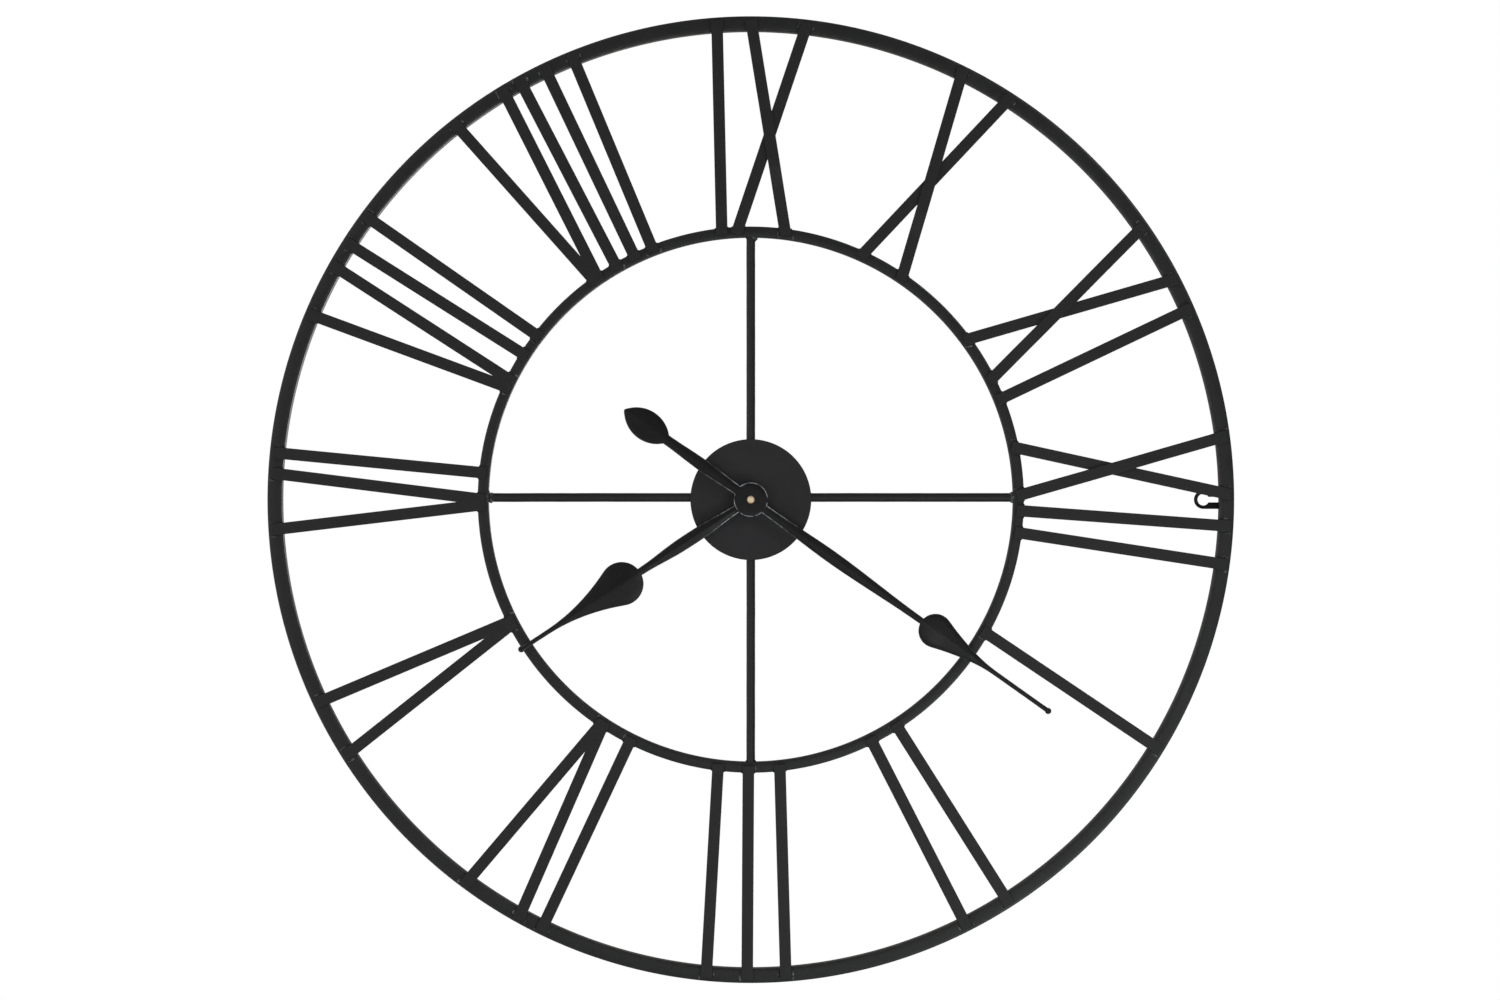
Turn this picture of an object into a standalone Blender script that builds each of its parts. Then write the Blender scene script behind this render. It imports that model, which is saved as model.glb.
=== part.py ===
"""Wall clock: two welded steel rings, strip numerals, two hands and a quartz movement.

The origin is on the wall, at the axis of the screw that the keyhole hanger hangs on.
+Z is up, +X is towards 3 o'clock and -Y is towards the room. Metres.
Angles on the dial are clockwise from 12, seen from the front.
"""

import math

import bmesh
import bpy
from mathutils import Matrix, Vector
from mathutils.geometry import intersect_line_line, tessellate_polygon

MM = 0.001

# clearances
GAP = 0.3 * MM  # between pieces that touch
WELD_GAP = 0.5 * MM  # between a spoke's end and the curved wall it is welded to
RUNNING_GAP = 0.3 * MM  # round a turning arbor or tube

# the frame
OUTER_RADIUS = 400 * MM
OUTER_TUBE_WIDTH = 12 * MM
OUTER_TUBE_DEPTH = 12 * MM
INNER_RADIUS = 226 * MM
INNER_TUBE_WIDTH = 9 * MM
INNER_TUBE_DEPTH = 9 * MM
TUBE_WALL = 1 * MM
TUBE_CORNER = 1.2 * MM
DRAIN_HOLE_RADIUS = 2 * MM
DRAIN_HOLE_ANGLE = math.radians(172)
OUTER_RING_SEGMENTS = 96
INNER_RING_SEGMENTS = 72

# the numerals' strips
STRIP_WIDTH = 9.6 * MM
STRIP_THICKNESS = 2.5 * MM
STRIP_MARGIN = 3 * MM  # bare ring left past each end of a strip

# the spokes and the disc
SPOKE_DIAMETER = 7.4 * MM
SPOKE_SET_BACK = 0.2 * MM  # how far its front lies behind the rings' front
SPOKE_CASE_GAP = 3 * MM
SPOKE_SHIFTS = {12: -1.8 * MM, 3: 0, 6: -1.8 * MM, 9: 0}  # along X or Z, as the welder left them
DISC_RADIUS = 50 * MM
DISC_THICKNESS = 1.5 * MM

# the keyhole hanger
HANGER_THICKNESS = 2 * MM
HANGER_WIDTH = 15.5 * MM
SCREW_HEAD_SPACE = 4.3 * MM  # between the hanger and the back of the ring
KEYHOLE_RADIUS = 4.9 * MM
SLOT_WIDTH = 4.5 * MM
SLOT_LENGTH = 12 * MM
HANGER_FLANGE = 4 * MM
HANGER_BEND = 3 * MM
HANGER_TOP_MARGIN = 0.5 * MM
SLOT_TOP_MARGIN = 1.75 * MM  # flat plate left between the slot and the bend

# the hands
HAND_THICKNESS = 1.2 * MM
HAND_COLLAR = 1.2 * MM
COLLAR_WALL = 1.5 * MM
HAND_BOSS_RADIUS = 14.1 * MM
ROD_HALF_WIDTH = 1.95 * MM
BALL_RADIUS = 2.6 * MM
MINUTE_HAND_ANGLE = math.radians(35.4)
MINUTE_HAND_LENGTH = 303 * MM
MINUTE_DROP_RADIUS = 14 * MM
HOUR_HAND_ANGLE = math.radians(146.9)
HOUR_HAND_LENGTH = 228.5 * MM
HOUR_DROP_RADIUS = 18 * MM
HAND_NUT_RADIUS = 3.3 * MM
HAND_NUT_BORE = 2 * MM
HAND_NUT_DOME = 1.2 * MM
TAIL_LENGTH = 128 * MM
LEAF_HALF_WIDTH = 12.5 * MM
LEAF_HALF_LENGTH = 22.9 * MM
# each arm's half widths, as (share of the way along it, half width), from the boss outwards
MINUTE_ARM = [(0, 3.65 * MM), (0.43, 5.3 * MM), (1, 2.7 * MM)]
HOUR_ARM = [(0, 3.4 * MM), (0.4, 5.5 * MM), (0.55, 5.5 * MM), (1, 3.1 * MM)]
TAIL_ARM = [(0, 4 * MM), (0.475, 5.2 * MM), (1, 4.15 * MM)]

# the movement's case, which is as large as the battery, the wheels and the motor make it
CASE_CORNER = 3 * MM
CASE_WALL = 1.5 * MM
PIVOT_DEPTH = 0.8 * MM
PIVOT_LENGTH = 1.4 * MM
ARBOR_STUB = 0.9 * MM  # the part of an arbor past its last wheel
POST_RADIUS = 1.5 * MM
POST_GAP = 0.5 * MM
WHEEL_CLEARANCE = 1.05 * MM
MOTOR_CLEARANCE = 1 * MM
CONTACT_SPACE = 1.25 * MM  # past each end of the battery
NECK_RADIUS = 4.9 * MM
NECK_LENGTH = 8 * MM
GASKET_RADIUS = 14 * MM
GASKET_THICKNESS = 1 * MM
WASHER_RADIUS = 8 * MM
WASHER_THICKNESS = 0.7 * MM
NUT_ACROSS_FLATS = 14 * MM
NUT_THICKNESS = 3 * MM

# the battery and its bay
BATTERY_RADIUS = 7.1 * MM
BATTERY_LENGTH = 50.5 * MM
BATTERY_NUB_RADIUS = 2.7 * MM
BATTERY_NUB_LENGTH = 1.3 * MM
BATTERY_CLEARANCE = 0.8 * MM
BAY_WALL = 1 * MM
CONTACT_THICKNESS = 0.4 * MM
CONTACT_WIDTH = 3.5 * MM
CONTACT_REACH = 4 * MM

# the circuit board
BOARD_WIDTH = 13 * MM
BOARD_HEIGHT = 17.5 * MM
BOARD_THICKNESS = 0.8 * MM
BOARD_MARGIN = 1.2 * MM
CHIP_RADIUS = 2.5 * MM
CHIP_HEIGHT = 0.5 * MM

# the wheels: modules, then teeth of each wheel and pinion
ARBOR_RADIUS = 0.6 * MM
STUD_RADIUS = 0.7 * MM
HOUR_TUBE_RADIUS = 3 * MM
MINUTE_ARBOR_RADIUS = 1.75 * MM
ARBOR_CLEARANCE = 0.9 * MM  # between the hour wheel and the arbors that pass it
ROTOR_MODULE = 0.22 * MM
PINION_SHOULDER = 0.17 * MM  # from the minute arbor to the bottom of the teeth cut round it
ROTOR_TEETH = 10
INTERMEDIATE_TEETH = 50
INTERMEDIATE_PINION = 10
SECOND_TEETH = 60
SECOND_PINION = 8
THIRD_TEETH = 60
THIRD_PINION = 8
MINUTE_TEETH = 64
CANNON_PINION = 12
MOTION_TEETH = 36
MOTION_PINION = 10
HOUR_TEETH = 40
KNOB_TEETH = 12
KNOB_RADIUS = 5 * MM
KNOB_THICKNESS = 1.2 * MM
KNOB_SHAFT_RADIUS = 1 * MM
WHEEL_THICKNESS = 0.7 * MM
PINION_THICKNESS = 1.1 * MM
LEVEL_GAP = 0.3 * MM
ADDENDUM = 0.9  # in modules
DEDENDUM = 1.2

# where the wheels sit round the centre, clockwise from 12
THIRD_DIRECTION = math.radians(-45)
INTERMEDIATE_DIRECTION = math.radians(30)
ROTOR_DIRECTION = math.radians(30)
MOTION_DIRECTION = math.radians(90)
KNOB_DIRECTION = math.radians(53)

# the motor
MAGNET_RADIUS = 2.5 * MM
MAGNET_THICKNESS = 1.8 * MM
STATOR_HOLE_RADIUS = 3.1 * MM
STATOR_THICKNESS = 0.8 * MM
STATOR_LENGTH = 28 * MM
STATOR_LEG = 4.5 * MM
STATOR_BAR = 7 * MM
ROTOR_FROM_STATOR_END = 9.8 * MM
COIL_RADIUS = 2.9 * MM
COIL_FLANGE = 0.8 * MM
WINDING_RADIUS = 2.4 * MM
CORE_WIDTH = 3.6 * MM
CORE_THICKNESS = 0.9 * MM

# Each stroke's ends, in millimetres along the rings from the hour's line, clockwise positive.
# "I" is (foot, head). "V" is (left foot, left head, right foot, right head).
# "X" is (foot, head) of the strip beneath, then (foot, head) of the strip that bows over it.
NUMERALS = {
    1: [("I", (-2, 10))],
    2: [("I", (-11, -18)), ("I", (13, 22))],
    3: [("I", (-24, -29)), ("I", (2, 3)), ("I", (27, 37))],
    4: [("I", (-13, -28)), ("V", (13, -7, 14, 46))],
    5: [("V", (10, -16, 12, 34))],
    6: [("V", (-4, -25, 0, 22)), ("I", (22, 39))],
    7: [("V", (-20, -50, -14, -5)), ("I", (10, 17)), ("I", (29, 44))],
    8: [("V", (-21, -57, -18, -8)), ("I", (0, 8)), ("I", (17, 31)), ("I", (33, 56))],
    9: [("I", (-24, -28)), ("X", (-12, 47, 29, 0))],
    10: [("X", (-22, 20, 17, -26))],
    11: [("X", (-26, 18, 14, -34)), ("I", (31, 45))],
    12: [("X", (-44, -4, -3, -53)), ("I", (9, 22)), ("I", (27, 54))],
}

# colours (linear) with roughness and metallic
BLACK_PAINT = ((0.022, 0.023, 0.025), 0.5, 0.0)
HAND_PAINT = ((0.015, 0.016, 0.018), 0.35, 0.0)
HANGER_PAINT = ((0.008, 0.008, 0.008), 0.5, 0.0)
BRASS = ((0.85, 0.6, 0.25), 0.2, 1.0)
STEEL = ((0.55, 0.55, 0.56), 0.3, 1.0)
COPPER = ((0.7, 0.28, 0.12), 0.35, 1.0)
CASE_PLASTIC = ((0.02, 0.02, 0.021), 0.55, 0.0)
WHEEL_PLASTIC = ((0.8, 0.79, 0.74), 0.5, 0.0)
RUBBER = ((0.012, 0.012, 0.012), 0.85, 0.0)
BOARD_GREEN = ((0.03, 0.13, 0.05), 0.5, 0.0)
BATTERY_GREY = ((0.11, 0.12, 0.13), 0.4, 0.2)


def at_angle(radius, angle):
    """A point of the dial as (x, z)."""
    return (radius * math.sin(angle), radius * math.cos(angle))


def shifted(point, step):
    return (point[0] + step[0], point[1] + step[1])


# ---- places that follow from the sizes above ----

HANGER_FRONT_Y = -HANGER_THICKNESS
RING_BACK_Y = HANGER_FRONT_Y - SCREW_HEAD_SPACE
RING_FRONT_Y = RING_BACK_Y - OUTER_TUBE_DEPTH
STRIP_BACK_Y = RING_FRONT_Y - GAP
STRIP_FRONT_Y = STRIP_BACK_Y - STRIP_THICKNESS
SPOKE_Y = RING_FRONT_Y + SPOKE_SET_BACK + SPOKE_DIAMETER / 2
DISC_BACK_Y = SPOKE_Y - SPOKE_DIAMETER / 2 - GAP
DISC_FRONT_Y = DISC_BACK_Y - DISC_THICKNESS
CASE_FRONT_Y = DISC_BACK_Y + GASKET_THICKNESS + 2 * GAP
WASHER_Y = DISC_FRONT_Y - GAP - WASHER_THICKNESS
NUT_Y = WASHER_Y - GAP - NUT_THICKNESS
NECK_END_Y = CASE_FRONT_Y - NECK_LENGTH
HOUR_HAND_BACK_Y = NECK_END_Y - 2 * GAP
HOUR_HAND_FRONT_Y = HOUR_HAND_BACK_Y - HAND_COLLAR - HAND_THICKNESS
HOUR_TUBE_END_Y = HOUR_HAND_FRONT_Y - GAP
MINUTE_HAND_BACK_Y = HOUR_TUBE_END_Y - GAP
MINUTE_HAND_FRONT_Y = MINUTE_HAND_BACK_Y - HAND_COLLAR - HAND_THICKNESS
HAND_NUT_BACK_Y = MINUTE_HAND_FRONT_Y - GAP

INNER_WALL_RADIUS = INNER_RADIUS - INNER_TUBE_WIDTH
FOOT_RADIUS = INNER_WALL_RADIUS + STRIP_MARGIN
HEAD_RADIUS = OUTER_RADIUS - STRIP_MARGIN
# the slot ends just below the hanger's bend
BEND_RADIUS = OUTER_RADIUS - HANGER_TOP_MARGIN - HANGER_FLANGE - HANGER_BEND
HOOK_RADIUS = BEND_RADIUS - SLOT_TOP_MARGIN - SLOT_WIDTH / 2
KEYHOLE_CENTRE = HOOK_RADIUS - SLOT_LENGTH

HUB_RADIUS = MINUTE_ARBOR_RADIUS - PINION_SHOULDER
MOTION_MODULE = (MINUTE_ARBOR_RADIUS + PINION_SHOULDER) / (CANNON_PINION / 2 - DEDENDUM)
HOUR_MODULE = MOTION_MODULE * (MOTION_TEETH + CANNON_PINION) / (HOUR_TEETH + MOTION_PINION)
HOUR_TIP_RADIUS = HOUR_MODULE * (HOUR_TEETH / 2 + ADDENDUM)
THIRD_DISTANCE = HOUR_TIP_RADIUS + ARBOR_CLEARANCE + ARBOR_RADIUS
GOING_MODULE = 2 * THIRD_DISTANCE / (THIRD_TEETH + SECOND_PINION)
MINUTE_MODULE = 2 * THIRD_DISTANCE / (MINUTE_TEETH + THIRD_PINION)

# levels inside the case, counted back from the case's front
FRONT_INSIDE = CASE_WALL
HOUR_LEVEL = FRONT_INSIDE + LEVEL_GAP
MOTION_LEVEL = HOUR_LEVEL + WHEEL_THICKNESS + LEVEL_GAP
MINUTE_LEVEL = MOTION_LEVEL + PINION_THICKNESS + LEVEL_GAP
THIRD_LEVEL = MINUTE_LEVEL + 2 * PINION_THICKNESS
SECOND_LEVEL = THIRD_LEVEL + WHEEL_THICKNESS + 2 * LEVEL_GAP
INTERMEDIATE_LEVEL = SECOND_LEVEL + WHEEL_THICKNESS + 2 * LEVEL_GAP
MAGNET_LEVEL = INTERMEDIATE_LEVEL + WHEEL_THICKNESS + 2 * LEVEL_GAP
STATOR_LEVEL = MAGNET_LEVEL + (MAGNET_THICKNESS - STATOR_THICKNESS) / 2
FLOOR_LEVEL = MAGNET_LEVEL + MAGNET_THICKNESS + PIVOT_LENGTH
CASE_DEPTH = FLOOR_LEVEL + CASE_WALL

# the wheels' axes
THIRD_AXIS = at_angle(THIRD_DISTANCE, THIRD_DIRECTION)
INTERMEDIATE_DISTANCE = GOING_MODULE * (SECOND_TEETH + INTERMEDIATE_PINION) / 2
INTERMEDIATE_AXIS = at_angle(INTERMEDIATE_DISTANCE, INTERMEDIATE_DIRECTION)
ROTOR_STEP = at_angle(ROTOR_MODULE * (INTERMEDIATE_TEETH + ROTOR_TEETH) / 2, ROTOR_DIRECTION)
ROTOR_AXIS = shifted(INTERMEDIATE_AXIS, ROTOR_STEP)
MOTION_AXIS = at_angle(MOTION_MODULE * (MOTION_TEETH + CANNON_PINION) / 2, MOTION_DIRECTION)
KNOB_STEP = at_angle(MOTION_MODULE * (MOTION_TEETH + KNOB_TEETH) / 2, KNOB_DIRECTION)
KNOB_AXIS = shifted(MOTION_AXIS, KNOB_STEP)

# the inside of the case: the battery lies under the wheels and the coil above the rotor
SECOND_TIP_RADIUS = GOING_MODULE * (SECOND_TEETH / 2 + ADDENDUM)
BAY_TOP = -SECOND_TIP_RADIUS - WHEEL_CLEARANCE - BAY_WALL
BATTERY_Z = BAY_TOP - BATTERY_CLEARANCE - BATTERY_RADIUS
BATTERY_LEVEL = CASE_WALL + BATTERY_CLEARANCE / 2 + BATTERY_RADIUS
COIL_Z = ROTOR_AXIS[1] + STATOR_BAR / 2 + MOTOR_CLEARANCE + COIL_RADIUS
STATOR_TOP = COIL_Z + COIL_RADIUS + MOTOR_CLEARANCE
INSIDE_BOTTOM = BATTERY_Z - BATTERY_RADIUS - BATTERY_CLEARANCE
INSIDE_TOP = STATOR_TOP + MOTOR_CLEARANCE
INSIDE_SIDE = BATTERY_LENGTH / 2 + CONTACT_SPACE
BOARD_LEFT = BOARD_MARGIN - INSIDE_SIDE
BOARD_BOTTOM = BAY_TOP + BAY_WALL + BOARD_MARGIN


# ---- helpers ----


def clear_scene():
    for old in list(bpy.data.objects):
        bpy.data.objects.remove(old, do_unlink=True)


def circle(radius, segments=24, centre=(0, 0)):
    step = 2 * math.pi / segments
    return tuple(shifted(at_angle(radius, i * step), centre) for i in range(segments))


def rectangle(low_x, high_x, low_z, high_z):
    return ((low_x, low_z), (low_x, high_z), (high_x, high_z), (high_x, low_z))


def arc(centre, radius, start, end, steps):
    """Points round centre, from start to end, both included. Angles are clockwise from +Z."""
    turn = (end - start) / steps
    return [shifted(at_angle(radius, start + i * turn), centre) for i in range(steps + 1)]


def rounded_rectangle(half_width, low_z, high_z, corner):
    x, top, bottom = half_width - corner, high_z - corner, low_z + corner
    points = []
    for quarter, middle in enumerate(((x, top), (x, bottom), (-x, bottom), (-x, top))):
        start = quarter * math.pi / 2
        points += arc(middle, corner, start, start + math.pi / 2, 4)
    return tuple(points)


def curve(start, pull, end, steps):
    """A quadratic curve from start to end, drawn towards pull."""
    points = []
    for i in range(steps + 1):
        t = i / steps
        a, b, c = (1 - t) ** 2, 2 * t * (1 - t), t**2
        points.append(tuple(a * p + b * q + c * r for p, q, r in zip(start, pull, end)))
    return points


def gear(teeth, module, addendum=ADDENDUM, root_share=0.62, tip_share=0.26):
    """A gear's outline with its first tooth at angle 0."""
    pitch_radius = teeth * module / 2
    root = pitch_radius - DEDENDUM * module
    tip = pitch_radius + addendum * module
    half_pitch = math.pi / teeth
    points = []
    for tooth in range(teeth):
        middle = tooth * 2 * half_pitch
        for radius, share in ((root, -root_share), (tip, -tip_share), (tip, tip_share), (root, root_share)):
            points.append(at_angle(radius, middle + share * half_pitch))
    return tuple(points)


def pinion(teeth, module):
    return gear(teeth, module, addendum=0.8, root_share=0.5, tip_share=0.25)


def inside(point, loop):
    """Does the loop go round the point?"""
    x, z = point
    found = False
    for (x1, z1), (x2, z2) in zip(loop, loop[1:] + loop[:1]):
        if (z1 > z) != (z2 > z) and x < x1 + (z - z1) * (x2 - x1) / (z2 - z1):
            found = not found
    return found


def add_cap(mesh, y, loops):
    """Flat faces at y over every region with an odd number of the loops around it."""
    depth = {loop: sum(inside(loop[0], other) for other in loops if other != loop) for loop in loops}
    for outline in (loop for loop in loops if depth[loop] % 2 == 0):
        holes = [
            loop
            for loop in loops
            if depth[loop] == depth[outline] + 1 and inside(loop[0], outline)
        ]
        polygons = [[Vector((x, z, 0)) for x, z in loop] for loop in (outline, *holes)]
        vertices = [mesh.verts.new((p.x, y, p.y)) for polygon in polygons for p in polygon]
        for corners in tessellate_polygon(polygons):
            mesh.faces.new([vertices[i] for i in corners])


def add_wall(mesh, loop, front, back):
    near = [mesh.verts.new((x, front, z)) for x, z in loop]
    far = [mesh.verts.new((x, back, z)) for x, z in loop]
    for i in range(len(loop)):
        j = (i + 1) % len(loop)
        mesh.faces.new((near[i], near[j], far[j], far[i]))


def stack(*sections):
    """One closed body of layers along Y, front to back. Each section is its front, its back,
    its outline and its holes, and neighbouring outlines lie one inside the other."""
    mesh = bmesh.new()
    before = set()
    for front, back, *loops in sections:
        now = set(loops)
        add_cap(mesh, front, before ^ now)
        for loop in loops:
            add_wall(mesh, loop, front, back)
        before = now
    add_cap(mesh, sections[-1][1], before)
    bmesh.ops.remove_doubles(mesh, verts=mesh.verts, dist=1e-7)
    bmesh.ops.recalc_face_normals(mesh, faces=mesh.faces)
    return mesh


def material(name, finish):
    colour, roughness, metallic = finish
    made = bpy.data.materials.new(name)
    made.use_nodes = True
    shader = made.node_tree.nodes["Principled BSDF"]
    shader.inputs["Base Color"].default_value = (*colour, 1)
    shader.inputs["Roughness"].default_value = roughness
    shader.inputs["Metallic"].default_value = metallic
    made.diffuse_color = (*colour, 1)
    return made


def add_object(name, mesh, parent, finish=None, place=(0, 0, 0), turn=(0, 0, 0)):
    data = bpy.data.meshes.new(name)
    mesh.to_mesh(data)
    mesh.free()
    data.shade_smooth()
    data.set_sharp_from_angle(angle=math.radians(30))
    made = bpy.data.objects.new(name, data)
    bpy.context.scene.collection.objects.link(made)
    made.parent = parent
    made.location = place
    made.rotation_euler = turn
    if finish:
        data.materials.append(material(name, finish))
    return made


def add_tool(name, mesh, parent, place=(0, 0, 0)):
    """A body that only shapes others."""
    tool = add_object(name, mesh, parent, place=place)
    tool.hide_render = True
    tool.display_type = "WIRE"
    return tool


def shape_with(target, tool, operation):
    boolean = target.modifiers.new(tool.name, "BOOLEAN")
    boolean.operation = operation
    boolean.solver = "EXACT"
    boolean.object = tool


def join_meshes(meshes):
    """Separate bodies in one mesh."""
    whole = bmesh.new()
    for mesh in meshes:
        data = bpy.data.meshes.new("part_of_tool")
        mesh.to_mesh(data)
        mesh.free()
        whole.from_mesh(data)
        bpy.data.meshes.remove(data)
    return whole


# ---- the frame ----


def add_turned(mesh, profile, segments):
    """Sweep a closed profile of (radius, y) round the dial's axis."""
    rings = []
    for i in range(segments):
        angle = 2 * math.pi * i / segments
        sine, cosine = at_angle(1, angle)
        rings.append([mesh.verts.new((radius * sine, y, radius * cosine)) for radius, y in profile])
    for ring, following in zip(rings, rings[1:] + rings[:1]):
        for j in range(len(profile)):
            k = (j + 1) % len(profile)
            mesh.faces.new((ring[j], ring[k], following[k], following[j]))


def tube_ring(name, radius, width, depth, segments, centre):
    """A ring of rectangular tube with a drain hole in its back, near the bottom."""
    inner, front, back = radius - width, RING_FRONT_Y, RING_FRONT_Y + depth
    c, w = TUBE_CORNER, TUBE_WALL
    skin = [
        (inner, front + c), (inner + c, front), (radius - c, front), (radius, front + c),
        (radius, back - c), (radius - c, back), (inner + c, back), (inner, back - c),
    ]
    hollow = [
        (inner + w, back - w), (radius - w, back - w), (radius - w, front + w), (inner + w, front + w),
    ]
    mesh = bmesh.new()
    add_turned(mesh, skin, segments)
    add_turned(mesh, hollow, segments)
    if mesh.calc_volume(signed=True) < 0:
        bmesh.ops.reverse_faces(mesh, faces=mesh.faces)
    ring = add_object(name, mesh, centre, BLACK_PAINT)
    x, z = at_angle(radius - width / 2, DRAIN_HOLE_ANGLE)
    drill = stack((back - 2 * w, back + w, circle(DRAIN_HOLE_RADIUS, 12)))
    shape_with(ring, add_tool(f"{name}_drain", drill, centre, (x, 0, z)), "DIFFERENCE")


def add_rings(centre):
    tube_ring("outer_ring", OUTER_RADIUS, OUTER_TUBE_WIDTH, OUTER_TUBE_DEPTH, OUTER_RING_SEGMENTS, centre)
    tube_ring("inner_ring", INNER_RADIUS, INNER_TUBE_WIDTH, INNER_TUBE_DEPTH, INNER_RING_SEGMENTS, centre)


def add_spokes(centre):
    outer_end = INNER_WALL_RADIUS - WELD_GAP
    case_ends = {12: INSIDE_TOP, 3: INSIDE_SIDE, 6: -INSIDE_BOTTOM, 9: INSIDE_SIDE}
    for hour, shift in SPOKE_SHIFTS.items():
        angle = hour * math.pi / 6
        inner_end = case_ends[hour] + CASE_WALL + SPOKE_CASE_GAP
        mesh = bmesh.new()
        bmesh.ops.create_cone(
            mesh, cap_ends=True, segments=12, radius1=SPOKE_DIAMETER / 2,
            radius2=SPOKE_DIAMETER / 2, depth=outer_end - inner_end,
        )
        x, z = at_angle((outer_end + inner_end) / 2, angle)
        across = shift * abs(math.cos(angle)), shift * abs(math.sin(angle))
        x, z = shifted((x, z), across)
        add_object(f"spoke_{hour:02d}", mesh, centre, BLACK_PAINT, (x, SPOKE_Y, z), (0, angle, 0))


def add_disc(centre):
    mesh = stack((DISC_FRONT_Y, DISC_BACK_Y, circle(DISC_RADIUS, 64), circle(NECK_RADIUS + RUNNING_GAP)))
    add_object("dial_disc", mesh, centre, BLACK_PAINT)


def add_hanger(centre):
    """A bent tab: its flange lies on the ring's back, and its keyhole plate lies on the wall."""
    top = OUTER_RADIUS - HANGER_TOP_MARGIN
    flange_end = top - HANGER_FLANGE
    round_radius = HANGER_WIDTH / 2
    flange_y = RING_BACK_Y + GAP
    bend_shift = HANGER_THICKNESS / 2
    flange_back = flange_y + HANGER_THICKNESS
    low = KEYHOLE_CENTRE - 2 * round_radius
    side = [
        (low, 0), (BEND_RADIUS, 0), (flange_end, flange_back), (top, flange_back), (top, flange_y),
        (flange_end - bend_shift, flange_y), (BEND_RADIUS - bend_shift, HANGER_FRONT_Y),
        (low, HANGER_FRONT_Y),
    ]
    strip = bmesh.new()
    faces = []
    for x in (-HANGER_WIDTH, HANGER_WIDTH):
        faces.append([strip.verts.new((x, y, z)) for z, y in side])
        strip.faces.new(faces[-1])
    for i in range(len(side)):
        j = (i + 1) % len(side)
        strip.faces.new((faces[0][i], faces[0][j], faces[1][j], faces[1][i]))
    bmesh.ops.recalc_face_normals(strip, faces=strip.faces)
    hanger = add_object("keyhole_hanger", strip, centre, HANGER_PAINT)

    beyond = top + HANGER_WIDTH
    outline = tuple(arc((0, KEYHOLE_CENTRE), round_radius, math.radians(90), math.radians(270), 12))
    outline += ((-round_radius, beyond), (round_radius, beyond))
    blank = stack((flange_y - HANGER_WIDTH, HANGER_WIDTH, outline))
    shape_with(hanger, add_tool("hanger_outline", blank, centre), "INTERSECT")

    half_slot = SLOT_WIDTH / 2
    mouth = math.asin(half_slot / KEYHOLE_RADIUS)
    keyhole = arc((0, KEYHOLE_CENTRE), KEYHOLE_RADIUS, mouth, 2 * math.pi - mouth, 16)
    keyhole += arc((0, HOOK_RADIUS), half_slot, math.radians(-90), math.radians(90), 6)
    punch = stack((HANGER_FRONT_Y - GAP, HANGER_THICKNESS, tuple(keyhole)))
    shape_with(hanger, add_tool("keyhole_punch", punch, centre), "DIFFERENCE")


# ---- the numerals ----


def stroke_ends(hour, foot, head):
    """The middle of a strip's foot on the inner ring and of its head on the outer ring."""
    line = hour * math.pi / 6
    start = at_angle(FOOT_RADIUS, line + foot * MM / FOOT_RADIUS)
    end = at_angle(HEAD_RADIUS, line + head * MM / HEAD_RADIUS)
    return Vector(start), Vector(end)


def stroke_edges(start, end):
    """The strip's two long edges, left then right, each from foot to head."""
    along = (end - start).normalized()
    across = Vector((along.y, -along.x)) * STRIP_WIDTH / 2
    return (start - across, end - across), (start + across, end + across)


def straight_strip(start, end):
    left, right = stroke_edges(start, end)
    outline = tuple(tuple(p) for p in (left[0], left[1], right[1], right[0]))
    return stack((STRIP_FRONT_Y, STRIP_BACK_Y, outline))


def crossing(line, other):
    points = intersect_line_line(*(p.to_3d() for p in (*line, *other)))
    return points[0].to_2d()


def v_strips(left_ends, right_ends):
    """Two strips that meet at the foot, as one outline."""
    left = stroke_edges(*left_ends)
    right = stroke_edges(*right_ends)
    notch = crossing(left[1], right[0])
    corners = (left[0][0], left[0][1], left[1][1], notch, right[0][1], right[1][1], right[1][0])
    return stack((STRIP_FRONT_Y, STRIP_BACK_Y, tuple(tuple(p) for p in corners)))


def bowed_strip(start, end, under):
    """A strip that rises over the one beneath it where they cross."""
    along = end - start
    length = along.length
    middle = (crossing((start, end), under) - start).length
    slant = along.angle(under[1] - under[0])
    flat = STRIP_WIDTH / 2 * (1 / math.sin(slant) + 1 / math.tan(slant)) + STRIP_THICKNESS
    ramp = 10 * STRIP_THICKNESS
    rise = STRIP_THICKNESS + GAP
    ramp_steps = 4
    stations = [(0, 0)]
    for i in range(ramp_steps + 1):
        t = i / ramp_steps
        stations.append((middle - flat - ramp * (1 - t), rise * t * t * (3 - 2 * t)))
    stations += [(2 * middle - distance, lift) for distance, lift in reversed(stations[1:])]
    stations.append((length, 0))
    across = Vector((along.y, -along.x)).normalized() * STRIP_WIDTH / 2
    mesh = bmesh.new()
    rings = []
    for distance, lift in stations:
        point = start + along * distance / length
        corners = ((1, STRIP_FRONT_Y), (1, STRIP_BACK_Y), (-1, STRIP_BACK_Y), (-1, STRIP_FRONT_Y))
        rings.append([
            mesh.verts.new((point.x + side * across.x, y - lift, point.y + side * across.y))
            for side, y in corners
        ])
    for ring, following in zip(rings, rings[1:]):
        for j in range(4):
            k = (j + 1) % 4
            mesh.faces.new((ring[j], ring[k], following[k], following[j]))
    mesh.faces.new(rings[0])
    mesh.faces.new(rings[-1])
    bmesh.ops.recalc_face_normals(mesh, faces=mesh.faces)
    return mesh


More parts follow.
